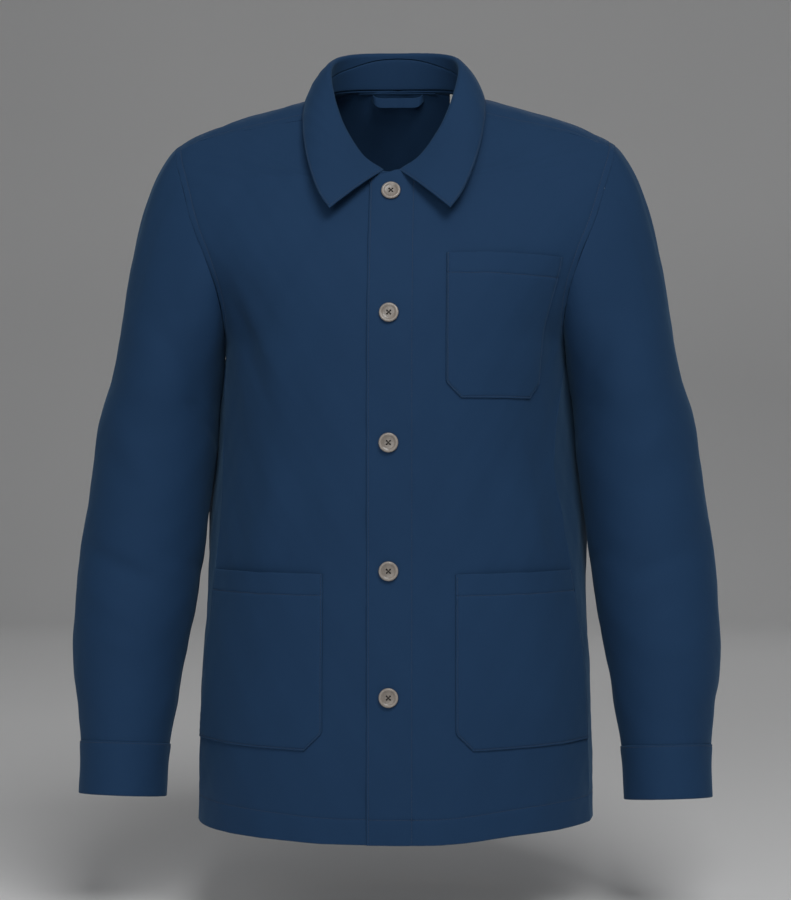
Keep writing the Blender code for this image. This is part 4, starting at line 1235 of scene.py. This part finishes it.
SLEEVE_COLUMNS = 104
CAP_ROWS = 44
ARM_ROWS = 130
CAP_LEAVE = 0.24
CAP_LAND = 0.38
FOLD_GIRTH = 0.06
CUFF_FADE = 0.03
AXIS_STEP = 0.01
CUFF_ROWS = 40
SLEEVE_CREASES = {
    "left": table(
        SLEEVE_FOLD_COLUMNS,
        [
            (40, -0.300, 54, 0.007, 0.040, -0.0012),
            (75, -0.235, 34, 0.008, 0.045, -0.0009),
            (120, -0.430, 74, 0.009, 0.035, -0.0009),
            (80, -0.520, 66, 0.009, 0.035, 0.0009),
            (95, -0.560, 74, 0.008, 0.030, -0.0008),
            (280, -0.400, -60, 0.009, 0.040, -0.0012),
            (300, -0.520, -70, 0.009, 0.038, 0.0010),
            (20, -0.440, 80, 0.009, 0.030, -0.0012),
        ],
    ),
    "right": table(
        SLEEVE_FOLD_COLUMNS,
        [
            (38, -0.295, 50, 0.007, 0.045, -0.0013),
            (70, -0.230, 30, 0.008, 0.050, -0.0008),
            (115, -0.455, 70, 0.009, 0.038, -0.0010),
            (90, -0.540, 70, 0.009, 0.032, 0.0008),
            (285, -0.410, -62, 0.009, 0.040, -0.0012),
            (310, -0.530, -66, 0.009, 0.035, 0.0010),
            (15, -0.450, 78, 0.009, 0.030, -0.0012),
        ],
    ),
}


def armhole_loop(count):
    """Armhole points on the +X side, evenly spaced from the armpit by the front and the back again,
    the way the sleeve leaves each, and its degrees round the sleeve."""
    spots = []
    ways = []
    tops = (
        ("front", np.linspace(ARMPIT_Z, FRONT_TOP, 120)),
        ("back", np.linspace(BACK_TOP, ARMPIT_Z, 120)[1:]),
    )
    for half, keys in tops:
        edge = ARMHOLE[half]
        spots.append(place_in(edge, "key", keys))
        ways.append(direction(read(edge, "key", "fan", keys), read(edge, "key", "fall", keys)))
    spots = np.concatenate(spots)
    ways = np.concatenate(ways)
    along = distances(spots)
    even = np.arange(count) / count
    spots, ways = (
        np.stack([np.interp(even * along[-1], along, values[:, i]) for i in range(3)], axis=-1)
        for values in (spots, ways)
    )
    return spots, unit(ways), even * 360.0


def sleeve_ring(z, turns, proud=0.0):
    """A sleeve's ring by its centre's height: points, ways out and the arm's axis."""
    centre = np.array([read(SLEEVE, "z", "x", z), read(SLEEVE, "z", "y", z), z])
    low = max(z - AXIS_STEP, SLEEVE["z"][0])
    high = min(z + AXIS_STEP, SLEEVE["z"][-1])
    ends = [np.array([read(SLEEVE, "z", "x", end), read(SLEEVE, "z", "y", end), end]) for end in (low, high)]
    axis = unit(ends[0] - ends[1])
    outer = unit(np.array([-axis[2], 0.0, axis[0]]))
    back = np.cross(outer, axis)
    turns = np.radians(turns)[:, None]
    half_width = read(SLEEVE, "z", "half_width", z) + proud
    half_depth = read(SLEEVE, "z", "half_depth", z) + proud
    out = -np.cos(turns) * half_width * outer - np.sin(turns) * half_depth * back
    return centre + out, unit(out), axis


def sleeve_relief(side, turns, heights):
    """How far a sleeve's folds and creases stand out."""
    total = 0.0
    for folds in (SLEEVE_FOLDS[side], SLEEVE_CREASES[side]):
        for i in range(len(folds["round"])):
            away = (turns - folds["round"][i] + 180.0) % 360.0 - 180.0
            one = {name: values[i : i + 1] for name, values in folds.items()}
            one["across"] = np.array([0.0])
            total = total + folds_at(one, np.radians(away) * FOLD_GIRTH, heights)
    waves = uneven_at(np.sin(np.radians(turns)) * FOLD_GIRTH, heights + np.radians(turns) * 0.01)
    return total + waves


def sleeve_face(side):
    """A sleeve's outer face from the armhole to the cuff's seam."""
    spots, ways, turns = armhole_loop(SLEEVE_COLUMNS)
    rings = []
    end, out, axis = sleeve_ring(SLEEVE_TOP_Z, turns)
    reach = np.linalg.norm(end - spots, axis=-1, keepdims=True)
    first = spots + ways * SEWN_GAP
    for t in np.arange(CAP_ROWS) / CAP_ROWS:
        ring = (
            first * (1 - t) ** 3
            + (first + ways * reach * CAP_LEAVE) * 3 * t * (1 - t) ** 2
            + (end - axis * reach * CAP_LAND) * 3 * t**2 * (1 - t)
            + end * t**3
        )
        rise = sleeve_relief(side, turns, ring[:, 2]) * smoothstep(0.0, 0.5, t)
        rings.append(ring + out * rise[:, None])
    for z in np.linspace(SLEEVE_TOP_Z, CUFF_SEAM_Z, ARM_ROWS):
        ring, out, axis = sleeve_ring(z, turns)
        rise = sleeve_relief(side, turns, np.full(len(turns), z))
        rings.append(ring + out * (rise * smoothstep(CUFF_SEAM_Z, CUFF_SEAM_Z + CUFF_FADE, z))[:, None])
    points = np.array(rings)
    other = side == "right"
    return Face(mirrored(points) if other else points, closed=True, flip=not other)


def cuff_face(side):
    """A cuff band's outer face."""
    turns = armhole_loop(SLEEVE_COLUMNS)[2]
    rings = []
    for z in np.linspace(CUFF_SEAM_Z - 0.0001, CUFF_END_Z, CUFF_ROWS):
        ring, out, _ = sleeve_ring(z, turns, CUFF_PROUD)
        rise = uneven_at(np.radians(turns) * 0.04, z, 1.1) * 0.6
        rings.append(ring + out * rise[:, None])
    points = np.array(rings)
    other = side == "right"
    return Face(mirrored(points) if other else points, closed=True, flip=not other)


SEAM_PUCKER_COUNT = 46  # ripples round a gathered seam


def make_sleeve(side):
    cut = Cut(sleeve_face(side), (near_edge(0.012), 118, near_edge(0.008)), None)
    turns = np.linspace(0, 2 * math.pi, SLEEVE_COLUMNS, endpoint=False)
    ripple = np.sin(turns * SEAM_PUCKER_COUNT + np.sin(turns * 5))
    ease = 0.00035 * ripple * np.exp(-((cut.from_first - 0.006) / 0.008) ** 2)
    draw = 0.00030 * ripple * np.exp(-(cut.from_last / 0.010) ** 2)
    face = cut.lifted(ease + draw)
    uvs = cut.flat_places()
    item = shell("sleeve_" + side, face.points, cut.to_edge, WALL, uvs, closed=True, flip=face.flip, sewn=1.0)
    return finished(item, drill, "sleeve_" + side)


def make_cuff(side):
    cut = Cut(cuff_face(side), (near_edge(0.006, [EDGE_STITCH]), 12, near_edge(0.008, [SEAM_STITCH])), None)
    lift = groove(cut.from_first - EDGE_STITCH) + pucker(cut.from_first, cut.flat_places()[..., 0])
    face = cut.lifted(lift)
    places = cut.flat_places()
    item = shell("cuff_" + side, face.points, cut.to_edge, BAND_WALL, places, closed=True, flip=face.flip)
    lines = [row_line(cut, face, EDGE_STITCH)]
    sewn = stitching("cuff_%s_stitching" % side, lines, thread)
    return finished(item, drill, "cuff_" + side), sewn


# ---- Collar ----

STAND_GAP = 0.0006
ROLL_GAP = 0.0012
ROLL_SWEEP = 155.0
ROLL_HEIGHT = 0.6
FALL_BULGE = 0.10
FALL_DROOP = 0.4
COLLAR_TURNS = 240
ROLL_STEPS = 26
FALL_STEPS = 44
STAND_STEPS = 16
COLLAR_WALL = 0.0018
TIP_CURL = 0.0016  # how far the collar's points stand off the fronts


def collar_up(turn):
    """At degrees round the neck: the seam's point, the way out, the stand's rise and the table's row."""
    half = min(turn, 360.0 - turn)
    along = neck_way(half)
    out = unit(np.array([along[1], -along[0], 0.0]))
    row = {name: read(COLLAR, "turn", name, half) for name in COLLAR}
    rise = np.array([0.0, 0.0, 1.0]) * row["height"] - out * row["lean"]
    return place_in(NECK, "turn", half), out, rise, row


def stand_face():
    """The stand's outer face, from the neck seam up."""
    columns = []
    for turn in np.linspace(COLLAR_START, 360.0 - COLLAR_START, COLLAR_TURNS):
        spot, out, rise, row = collar_up(turn)
        shares = np.linspace(0.0, 1.0, STAND_STEPS)[:, None]
        column = spot + unit(rise) * STAND_GAP + rise * shares
        columns.append(mirrored(column) if turn > 180.0 else column)
    return Face(np.array(columns).transpose(1, 0, 2))


def fall_face():
    """The fall's outer face: up inside the neck, over the roll, and down to its edge."""
    sections = []
    for turn in np.linspace(COLLAR_START, 360.0 - COLLAR_START, COLLAR_TURNS):
        spot, out, rise, row = collar_up(turn)
        up = unit(rise)
        side = unit(out - up * np.dot(out, up))
        top = spot + rise + up * ROLL_GAP
        roll = row["roll"]
        centre = top + up * (row["over"] + roll * ROLL_HEIGHT) + side * (roll - WALL)
        turns = np.radians(180.0 - ROLL_SWEEP * np.linspace(0.0, 1.0, ROLL_STEPS))[:, None]
        over = centre + (side * np.cos(turns) + up * np.sin(turns)) * roll
        edge = np.array([row["edge_x"], row["edge_y"], row["edge_z"]])
        start = over[-1]
        run = edge - start
        t = np.linspace(0.0, 1.0, FALL_STEPS + 1)[1:, None]
        bulge = side * np.linalg.norm(run) * FALL_BULGE
        down = start + run * t + bulge * 4 * t * (1 - t) * (1 - FALL_DROOP * t)
        near_tip = max(0.0, 1 - abs(min(turn, 360.0 - turn) - COLLAR_START) / 30.0)
        down = down + out * TIP_CURL * near_tip * t**3
        section = np.concatenate([[top - side * WALL], over, down])
        sections.append(mirrored(section) if turn > 180.0 else section)
    return Face(np.array(sections))


def make_stand():
    down, along = near_edge(0.0011), near_edge(0.003)
    cut = Cut(stand_face(), (down, 8, down), (along, 150, along))
    item = shell("collar_stand", cut.face.points, cut.to_edge, WALL, cut.flat_places(), sewn=1.0)
    return finished(item, drill, "collar_stand")


def make_fall():
    ends = near_edge(0.008, [EDGE_STITCH])
    rows = (ends, 150, ends)
    columns = (near_edge(0.003), 30, near_edge(0.009, [EDGE_STITCH], 0.002))
    cut = Cut(fall_face(), rows, columns)
    away = np.minimum(np.minimum(cut.from_first, cut.from_last), cut.from_right)
    ripple = np.sin(cut.from_first * 2 * math.pi / 0.031) * 0.00018 * smoothstep(0.012, 0.03, cut.from_left)
    face = cut.lifted(groove(away - EDGE_STITCH) + ripple)
    sewn = smoothstep(0.010, 0.004, cut.from_left)
    item = shell("collar_fall", face.points, cut.to_edge, COLLAR_WALL, cut.flat_places(), sewn=sewn)
    lines = [
        row_line(cut, face, EDGE_STITCH),
        row_line(cut, face, EDGE_STITCH, from_last=True),
        column_line(cut, face, EDGE_STITCH, from_right=True, first=EDGE_STITCH, last=EDGE_STITCH),
    ]
    sewn = stitching("collar_stitching", lines, thread)
    return finished(item, drill, "collar_fall"), sewn


# ---- Pockets ----

POCKET_LATTICE = (90, 90)
POCKET_BELLY = 0.0016
POCKET_DRAW = 1.8  # how much harder the pockets' stitching draws in than the seams'
POCKET_HEM = 0.0205
GAPE_POWER = 5


def pocket_face(pocket):
    """A patch pocket's outer face from its foot to its mouth, on its front."""
    panel = front_panels[pocket["panel"]]
    rows, columns = POCKET_LATTICE
    share = np.linspace(0.0, 1.0, rows)
    keys = pocket["bottom"] + (pocket["top"] - pocket["bottom"]) * share
    up = keys - pocket["bottom"]
    if pocket["outer"] is None:
        outer = panel.length(keys) - POCKET_SIDE_MARGIN
    else:
        outer = pocket["foot_outer"] + (pocket["outer"] - pocket["foot_outer"]) * share
    inner = pocket["inner"] + np.maximum(pocket["corner"] - up, 0.0)
    outer = outer - np.maximum(pocket["outer_corner"] - up, 0.0)
    spread_out = np.linspace(0.0, 1.0, columns)
    across = inner[:, None] + (outer - inner)[:, None] * spread_out
    arch = np.sin(math.pi * spread_out)
    gape = pocket["gape"] * arch * share[:, None] ** GAPE_POWER
    belly = POCKET_BELLY * arch**0.5 * smoothstep(0.0, 0.25, share)[:, None]
    points = panel.on(across, np.broadcast_to(keys[:, None], across.shape), SEAM_GAP + WALL + gape + belly)
    return Face(points, flip=panel.flip)


def make_pocket(name, pocket):
    sides = near_edge(0.006, [EDGE_STITCH])
    mouth = near_edge(POCKET_HEM + 0.003, [POCKET_HEM], 0.003)
    cut = Cut(pocket_face(pocket), (sides, 34, mouth), (sides, 34, sides))
    away = np.minimum(np.minimum(cut.from_left, cut.from_right), cut.from_first)
    hem = np.abs(cut.from_last - POCKET_HEM)
    across = cut.flat_places()[..., 0]
    lift = groove(away - EDGE_STITCH) * POCKET_DRAW + groove(hem) * POCKET_DRAW + pucker(hem, across, 0.9)
    lift = lift + pucker(away, across + cut.from_first, 0.2)
    face = cut.lifted(lift)
    uvs = cut.flat_places() * [1.0, -1.0]
    item = shell(name, face.points, cut.to_edge, WALL, uvs, flip=face.flip)
    lines = [
        column_line(cut, face, EDGE_STITCH, first=EDGE_STITCH),
        column_line(cut, face, EDGE_STITCH, from_right=True, first=EDGE_STITCH),
        row_line(cut, face, EDGE_STITCH),
        row_line(cut, face, POCKET_HEM, from_last=True),
    ]
    sewn = stitching(name + "_stitching", lines, thread)
    return finished(item, drill, name), sewn


# ---- Stitching on the body ----


def panel_line(panel, across, keys, lift=0.0):
    """A line of points on a panel and the ways out, by distance across and height."""
    rows, columns = panel.spot(across, keys)
    return line_on(panel, rows, columns, lift)


def sew_front(side):
    panel = front_panels[side]
    low = HEM_Z + HEM_TURNING
    sink = -GROOVE_DEPTH
    across = np.linspace(-LAP + 0.001, float(panel.length(low)) - 0.001, 300)
    hem = low + HEM_BEND * smoothstep(0.03, 0.20, across)
    lines = [panel_line(panel, across, hem, sink)]
    heights = np.linspace(ARMPIT_Z + 0.004, FRONT_TOP - 0.001, 220)
    lines.append(panel_line(panel, panel.length(heights) - SEWN_GAP - SEAM_STITCH, heights, sink))
    if side == "left":
        heights = np.linspace(HEM_Z + 0.001, NECK_Z - 0.001, 400)
        lines.append(panel_line(panel, np.full(400, BAND_EDGE), heights, sink))
        lines.append(panel_line(panel, np.full(400, EDGE_STITCH - LAP), heights, sink * 0.6))
    return stitching("front_%s_stitching" % side, lines, thread)


def sew_back():
    lines = []
    for panel in back_panels.values():
        low = HEM_Z + HEM_TURNING
        across = np.linspace(0.0, float(panel.length(low)) - 0.001, 240)
        hem = low + HEM_BEND * smoothstep(0.03, 0.20, across)
        lines.append(panel_line(panel, across, hem, -GROOVE_DEPTH))
        heights = np.linspace(ARMPIT_Z + 0.004, BACK_TOP - SEAM_STITCH, 240)
        seam = panel.length(heights) - SEWN_GAP - SEAM_STITCH
        lines.append(panel_line(panel, seam, heights, -GROOVE_DEPTH))
        top = BACK_TOP - SEAM_STITCH
        across = np.linspace(0.001, float(panel.length(top)) - SEAM_STITCH, 200)
        lines.append(panel_line(panel, across, np.full(200, top), -GROOVE_DEPTH))
    return stitching("back_stitching", lines, thread)


# ---- Buttons ----

# A button's section, as shares of its radius and thickness, from the face's middle to the back's.
BUTTON_SECTION = (
    (0.00, 0.72),
    (0.30, 0.70),
    (0.56, 0.71),
    (0.66, 0.78),
    (0.74, 0.93),
    (0.82, 1.00),
    (0.90, 0.99),
    (0.96, 0.90),
    (1.00, 0.68),
    (0.985, 0.40),
    (0.93, 0.14),
    (0.84, 0.02),
    (0.70, 0.00),
    (0.00, 0.00),
)
BUTTON_SIDES = 72


def button_mesh():
    """A turned button with four holes."""
    places = []
    faces = []
    rings = [(wide * BUTTON_RADIUS, high * BUTTON_THICK) for wide, high in BUTTON_SECTION[1:-1]]
    for wide, high in rings:
        for i in range(BUTTON_SIDES):
            turn = 2 * math.pi * i / BUTTON_SIDES
            places.append((wide * math.cos(turn), wide * math.sin(turn), high))
    for ring in range(len(rings) - 1):
        for i in range(BUTTON_SIDES):
            j = (i + 1) % BUTTON_SIDES
            low = ring * BUTTON_SIDES
            faces.append((low + i, low + BUTTON_SIDES + i, low + BUTTON_SIDES + j, low + j))
    faces.append(tuple(range(BUTTON_SIDES)))
    last = (len(rings) - 1) * BUTTON_SIDES
    faces.append(tuple(last + i for i in range(BUTTON_SIDES))[::-1])
    item = mesh_object("button_blank", places, faces)
    cutters = []
    for i in range(4):
        turn = math.radians(45 + 90 * i)
        reach = BUTTON_HOLE_OFFSET * math.sqrt(2)
        bpy.ops.mesh.primitive_cylinder_add(
            vertices=20,
            radius=BUTTON_HOLE_RADIUS,
            depth=0.01,
            location=(reach * math.cos(turn), reach * math.sin(turn), 0.0),
        )
        cutters.append(bpy.context.object)
        cut = item.modifiers.new("Hole %d" % (i + 1), "BOOLEAN")
        cut.object = cutters[-1]
    graph = bpy.context.evaluated_depsgraph_get()
    mesh = bpy.data.meshes.new_from_object(item.evaluated_get(graph))
    for spare in [item, *cutters]:
        bpy.data.objects.remove(spare, do_unlink=True)
    mesh.shade_smooth()
    mesh.set_sharp_from_angle(angle=math.radians(40))
    mesh.materials.clear()
    return mesh


def make_button(number, height, mesh):
    """A button on the lap, sewn with crossed thread."""
    seat, out = panel_line(front_panels["left"], np.array([0.0]), np.array([height]))
    seat = seat[0]
    out = out[0]
    tilt = math.atan2(out[2], -out[1])
    item = bpy.data.objects.new("button_%d_turned" % number, mesh.copy())
    bpy.context.scene.collection.objects.link(item)
    item.location = seat + out * BUTTON_LIFT
    item.rotation_euler = (math.radians(90) - tilt, 0.0, 0.0)
    finished(item, horn, "button_%d" % number)
    places = []
    faces = []
    sides = 8
    reach = BUTTON_HOLE_OFFSET * 1.04
    face_z = BUTTON_THICK * 0.71
    for turn, lift in ((45.0, 0.0), (135.0, 0.00022)):
        way = np.array([math.cos(math.radians(turn)), math.sin(math.radians(turn)), 0.0])
        side = np.array([-way[1], way[0], 0.0])
        for beside in (-0.00024, 0.00024):
            first = len(places)
            path = np.linspace(-1.0, 1.0, 9)
            for t in path:
                drop = -0.0016 * max(0.0, (abs(t) - 0.80) / 0.20)
                centre = way * reach * math.sqrt(2) * t + side * beside
                centre = centre + [0.0, 0.0, face_z + 0.00025 + lift * (1 - t * t) + drop]
                for i in range(sides):
                    spin = 2 * math.pi * i / sides
                    spoke = side * math.cos(spin) + np.array([0, 0, 1.0]) * math.sin(spin)
                    places.append(centre + spoke * BUTTON_THREAD_RADIUS)
            for ring in range(len(path) - 1):
                for i in range(sides):
                    j = (i + 1) % sides
                    low = first + ring * sides
                    faces.append((low + i, low + j, low + sides + j, low + sides + i))
            faces.append(tuple(first + i for i in range(sides))[::-1])
            faces.append(tuple(first + (len(path) - 1) * sides + i for i in range(sides)))
    sewn = mesh_object("button_%d_thread" % number, places, faces)
    sewn.location = item.location
    sewn.rotation_euler = item.rotation_euler
    finished(sewn, dark_thread)
    return item


# ---- Inside the back neck ----

STRIPS = table(
    "middle half top low stand bow wall sag ends_hang hang",
    [
        (180.0, 30.0, 0.0010, 0.0062, 0.0005, 0.0000, 0.0007, 0.0000, 0, 0),
        (180.0, 19.0, 0.0011, 0.0114, 0.0014, 0.0012, 0.0012, 0.0014, 0, 1),
        (129.0, 5.0, 0.0006, 0.0130, -0.0002, 0.0000, 0.0006, 0.0000, 1, 1),
    ],
)
STRIP_NAMES = ("neck_tape", "hanger_loop", "neck_label")
STRIP_SEAT = 0.0018  # from the back's outer face to where a strip lies inside it
STRIP_LOWEST = 0.004  # how far over the back's neck the lowest row is that a strip lies by
STRIP_FREE_POWER = 14  # how soon a hanging strip leaves the back, in from its ends


def inside_neck(turn, down, inward, hang):
    """A point inside the back neck: down from the neck seam, and in from the cloth."""
    half = min(turn, 360.0 - turn)
    key = BACK_NECK_Z + NECK_RUN * (180.0 - half) / (180.0 - SHOULDER_TURN)
    side = neck_way(half)
    lowest = np.array([max(key, BACK_NECK_Z + STRIP_LOWEST)])
    out = panel_line(back_panels["left"], np.array([SEAM_GAP]), lowest)[1][0]
    if half >= 180.0 - NECK_STEP / 2:
        side[1:] = 0.0
        out[0] = 0.0
        out = unit(out)
    slope = unit(np.cross(side, out))
    slope = -slope * np.sign(slope[2])
    slope = slope * (1.0 - hang) + np.array([0.0, 0.0, -hang])
    place = place_in(NECK, "turn", half) + slope * down - out * (STRIP_SEAT + SEAM_GAP + inward)
    return mirrored(place) if turn > 180.0 else place


def make_strip(name, strip):
    """A strip of cloth along the inside of the back neck."""
    columns = []
    for turn in np.linspace(strip["middle"] - strip["half"], strip["middle"] + strip["half"], 60):
        off = 1.0 - (abs(turn - strip["middle"]) / strip["half"]) ** 4
        inward = strip["stand"] + strip["bow"] * off + strip["wall"]
        downs = np.linspace(strip["top"], strip["low"], 24) + strip["sag"] * off
        free = 1.0 - (abs(turn - strip["middle"]) / strip["half"]) ** STRIP_FREE_POWER
        hang = strip["ends_hang"] + (strip["hang"] - strip["ends_hang"]) * free
        columns.append([inside_neck(turn, down, inward, hang) for down in downs])
    face = Face(np.array(columns).transpose(1, 0, 2))
    edges = near_edge(0.002)
    cut = Cut(face, (edges, 6, edges), (edges, 60, edges))
    item = shell(name, cut.face.points, cut.to_edge, strip["wall"], cut.flat_places())
    white = name == "neck_label"
    return finished(item, white_tape if white else drill, name)


# ---- The jacket ----

SIDES = ("left", "right")

for side in SIDES:
    make_front(side)
make_back()
for side in SIDES:
    sew_front(side)
sew_back()
for side in SIDES:
    make_sleeve(side)
for side in SIDES:
    make_cuff(side)
make_stand()
make_fall()
for pocket_name, pocket in POCKETS.items():
    make_pocket(pocket_name, pocket)
for i, strip_name in enumerate(STRIP_NAMES):
    make_strip(strip_name, {column: values[i] for column, values in STRIPS.items()})
turned = button_mesh()
for i, height in enumerate(BUTTON_HEIGHTS, 1):
    make_button(i, height, turned)

# ---- Camera, floor and light ----

LOOK_AT = Vector((0.0, 0.0, -0.34))
CAMERA_DISTANCE = 2.2
CAMERA_TURN = math.radians(2.5)
FLOOR_Z = -0.80
SWEEP_Y = 3.6  # where the floor begins to sweep up
SWEEP_RADIUS = 1.2
SWEEP_TOP = 6.0
FLOOR_NEAR_Y = -7.0
FLOOR_SIDE = 8.0  # from the middle of the floor to either side

camera_data = bpy.data.cameras.new("camera")
camera_data.sensor_fit = "VERTICAL"
camera_data.sensor_height = 36.0
camera_data.lens = 36.0 * CAMERA_DISTANCE / 0.9
camera = bpy.data.objects.new("camera", camera_data)
bpy.context.scene.collection.objects.link(camera)
way_back = Vector((math.sin(CAMERA_TURN), -math.cos(CAMERA_TURN), 0.0))
camera.location = LOOK_AT + way_back * CAMERA_DISTANCE
camera.rotation_euler = (-way_back).to_track_quat("-Z", "Y").to_euler()
bpy.context.scene.camera = camera


def area_light(name, place, target, width, height, power):
    """A soft rectangular light."""
    data = bpy.data.lights.new(name, "AREA")
    data.shape = "RECTANGLE"
    data.size = width
    data.size_y = height
    data.energy = power
    light = bpy.data.objects.new(name, data)
    bpy.context.scene.collection.objects.link(light)
    light.location = place
    light.rotation_euler = (Vector(target) - Vector(place)).to_track_quat("-Z", "Y").to_euler()
    return light


def make_floor():
    """A plain floor that sweeps up behind."""
    bend = np.linspace(0.1, math.pi / 2, 16)
    profile = [(FLOOR_NEAR_Y, FLOOR_Z), (SWEEP_Y, FLOOR_Z)]
    for turn in bend:
        rise = SWEEP_RADIUS * (1 - math.cos(turn))
        profile.append((SWEEP_Y + SWEEP_RADIUS * math.sin(turn), FLOOR_Z + rise))
    profile.append((SWEEP_Y + SWEEP_RADIUS, SWEEP_TOP))
    places = [(x, y, z) for y, z in profile for x in (-FLOOR_SIDE, FLOOR_SIDE)]
    faces = [(2 * i, 2 * i + 1, 2 * i + 3, 2 * i + 2) for i in range(len(profile) - 1)]
    item = mesh_object("floor", places, faces)
    item.data.materials.append(floor_finish("floor"))
    return item


# Each light: name, place, the height it is aimed at on the centre line, width, height and watts.
LIGHTS = (
    ("key_light", (0.9, -2.7, 2.3), -0.3, 2.0, 1.6, 80.0),
    ("fill_light", (-0.9, -3.6, 0.5), -0.35, 2.2, 2.0, 34.0),
    ("top_light", (0.0, -0.6, 2.4), -0.2, 2.2, 1.8, 6.0),
    ("back_light", (0.4, 3.4, 1.9), -0.3, 2.4, 1.6, 16.0),
)

make_floor()
for name, place, aim, width, height, power in LIGHTS:
    area_light(name, place, (0.0, 0.0, aim), width, height, power)
world = bpy.data.worlds.new("studio")
world.use_nodes = True
background = world.node_tree.nodes["Background"]
background.inputs["Color"].default_value = (0.92, 0.95, 1.0, 1.0)
background.inputs["Strength"].default_value = 0.04
bpy.context.scene.world = world
bpy.context.scene.view_settings.view_transform = "Standard"
